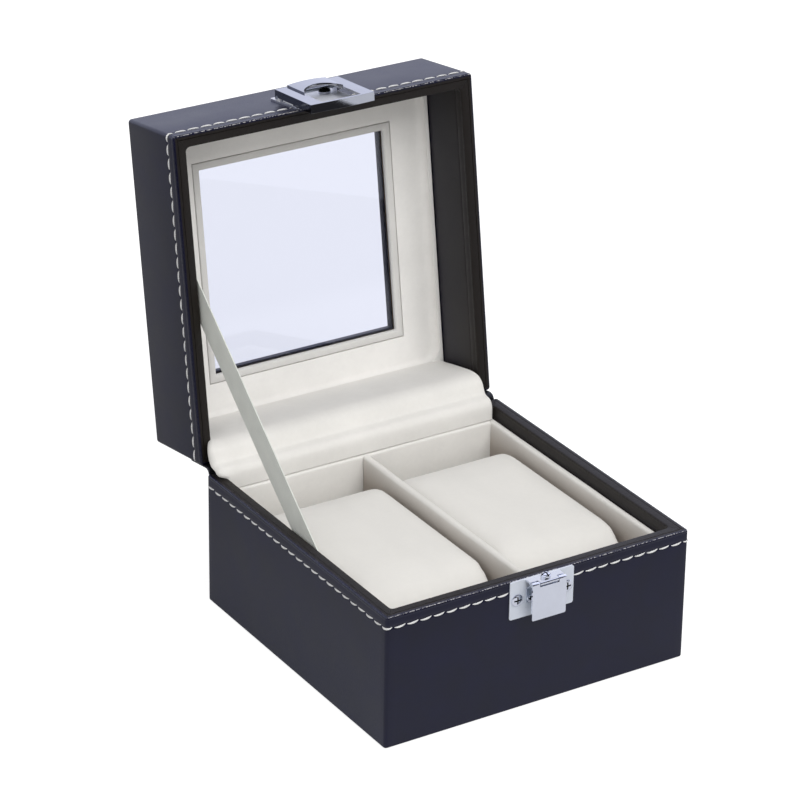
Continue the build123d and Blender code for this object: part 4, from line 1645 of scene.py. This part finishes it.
@dataclass
class Studio:
    """The pale floor, soft light and the camera."""

    azimuth: float = -32.342
    elevation: float = 26.009
    roll: float = 0.860
    focal_px: float = 3714.48
    image_px: float = 800.0
    eye: Sequence[float] = (-0.584265, -0.894545, 0.604684)
    sensor: float = 36.0
    dark_from: float = 0.52
    dark_fade: float = 0.14
    dark_share: float = 0.93
    diffuse: float = 0.58
    behind_more: float = 0.22
    warm: COLOUR = (0.96, 0.95, 0.935)
    cool: COLOUR = (0.86, 0.90, 1.11)
    floor_cool: COLOUR = (0.84, 0.90, 1.12)
    table_edge: float = -0.30
    table_side: float = 0.4025
    lamp_side: float = 1.2
    lamp_target: Sequence[float] = (0.0, 0.0, 0.05)
    edge_fade: float = 0.05
    side_fade: float = 0.003
    floor_seen: float = 0.84
    floor_glow: float = 0.30
    side_glow: float = 0.45
    behind_less: float = 0.75

    def camera(self) -> None:
        """Stands the camera where the photograph was taken."""
        a, e, r = (math.radians(v) for v in (self.azimuth, self.elevation, self.roll))
        back = Vector((math.sin(a) * math.cos(e), -math.cos(a) * math.cos(e), math.sin(e)))
        right = Vector((math.cos(a), math.sin(a), 0))
        up = back.cross(right)
        right, up = math.cos(r) * right + math.sin(r) * up, math.cos(r) * up - math.sin(r) * right
        camera = bpy.data.objects.new("camera", bpy.data.cameras.new("camera"))
        camera.data.sensor_width = self.sensor
        camera.data.lens = self.focal_px / self.image_px * self.sensor
        camera.data.clip_end = 20.0
        axes = Matrix((right, up, back)).transposed().to_4x4()
        camera.matrix_world = Matrix.Translation(Vector(self.eye)) @ axes
        bpy.context.scene.collection.objects.link(camera)
        bpy.context.scene.camera = camera

    def sky(self) -> None:
        """White surroundings with a dark room in front, which only gloss shows."""
        world = bpy.data.worlds.new("studio")
        bpy.context.scene.world = world
        world.use_nodes = True
        graph = Graph(world.node_tree)
        seen, gloss, through = graph.rays()
        ways = graph.node("ShaderNodeTexCoord").outputs["Generated"]
        split = graph.node("ShaderNodeSeparateXYZ", inputs={"Vector": ways})
        front = graph.wires(split, "Y")[0] * -1.0
        dark = ((front - self.dark_from) / self.dark_fade).clamped() * self.dark_share
        beyond = (front * -2.0).clamped() * self.behind_more
        strength = seen.above(through).above(gloss) * (1.0 - self.diffuse) + self.diffuse
        strength = strength * (1.0 + gloss * (1.0 - through) * (beyond - dark))
        tone = graph.mix(seen.above(through), graph.mix(gloss, self.warm, self.cool), (1.0, 1.0, 1.0))
        back = graph.node("ShaderNodeBackground", inputs={"Color": tone, "Strength": strength})
        graph.node("ShaderNodeOutputWorld", inputs={"Surface": back.outputs[0]})

    def lamp(self, name: str, place: Sequence[float], power: float) -> None:
        """A soft square lamp that looks at the box.

        Args:
            name: its name.
            place: where it stands.
            power: its power in watts.
        """
        data = bpy.data.lights.new(name, "AREA")
        data.size = self.lamp_side
        data.energy = power
        lamp = bpy.data.objects.new(name, data)
        lamp.location = place
        away = Vector(self.lamp_target) - Vector(place)
        lamp.rotation_euler = away.to_track_quat("-Z", "Y").to_euler()
        lamp.visible_glossy = False
        bpy.context.scene.collection.objects.link(lamp)

    def floor(self) -> None:
        """A pale floor that keeps the box's shadow. Gloss sees it dark in front, as under a table's edge."""
        Bench.clear()
        bpy.ops.mesh.primitive_plane_add(size=12.0)
        floor = bpy.context.object
        floor.name = "studio_floor"
        recipe = Recipe("studio_floor")
        seen, gloss, through = recipe.rays()
        gloss = gloss * (1.0 - through)
        along, over, _ = recipe.axes()
        beside = ((along - self.table_side) / self.side_fade).clamped()
        before = ((self.table_edge - over) / self.edge_fade).clamped()
        far = before * gloss * (1.0 - beside)
        glow = gloss * (beside * before * self.side_glow + self.floor_glow)
        behind = (over / 0.2 + 0.3).clamped() * (1.0 - ((over - 0.9) / 0.5).clamped())
        glow = glow * (1.0 - far) * (1.0 - behind * self.behind_less)
        glow = seen.above(glow).above(through) * self.floor_seen
        recipe.dress(Base_Color=recipe.mix(far, (0.45, 0.45, 0.45), (0.03, 0.03, 0.035)), Roughness=1.0,
                     Specular_IOR_Level=0.0, Emission_Strength=glow,
                     Emission_Color=recipe.mix(gloss, (1.0, 1.0, 1.0), self.floor_cool))
        Bench.paint(floor, recipe.material)

    def build(self) -> None:
        """Builds the studio."""
        self.camera()
        self.sky()
        self.lamp("top_box", (0.15, -1.10, 1.60), 19.0)
        self.lamp("left_box", (-1.30, -0.95, 0.90), 2.8)
        self.lamp("front_box", (-0.20, -1.75, 0.50), 3.2)
        self.floor()
        bpy.context.scene.view_settings.view_transform = "Standard"


def main() -> None:
    """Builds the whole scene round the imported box."""
    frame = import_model()
    finishes = Finishes()
    box = Box(frame)
    Covering(box, finishes).build()
    Velvets(box, finishes).build()
    Cushions(box, finishes).build()
    HingeAndStay(box, finishes).build()
    Hardware(box, finishes).build()
    Plain(box, finishes).build()
    Studio().build()


if __name__ == "__main__":
    logging.basicConfig(level=logging.INFO, format="%(name)s %(message)s")
    main()
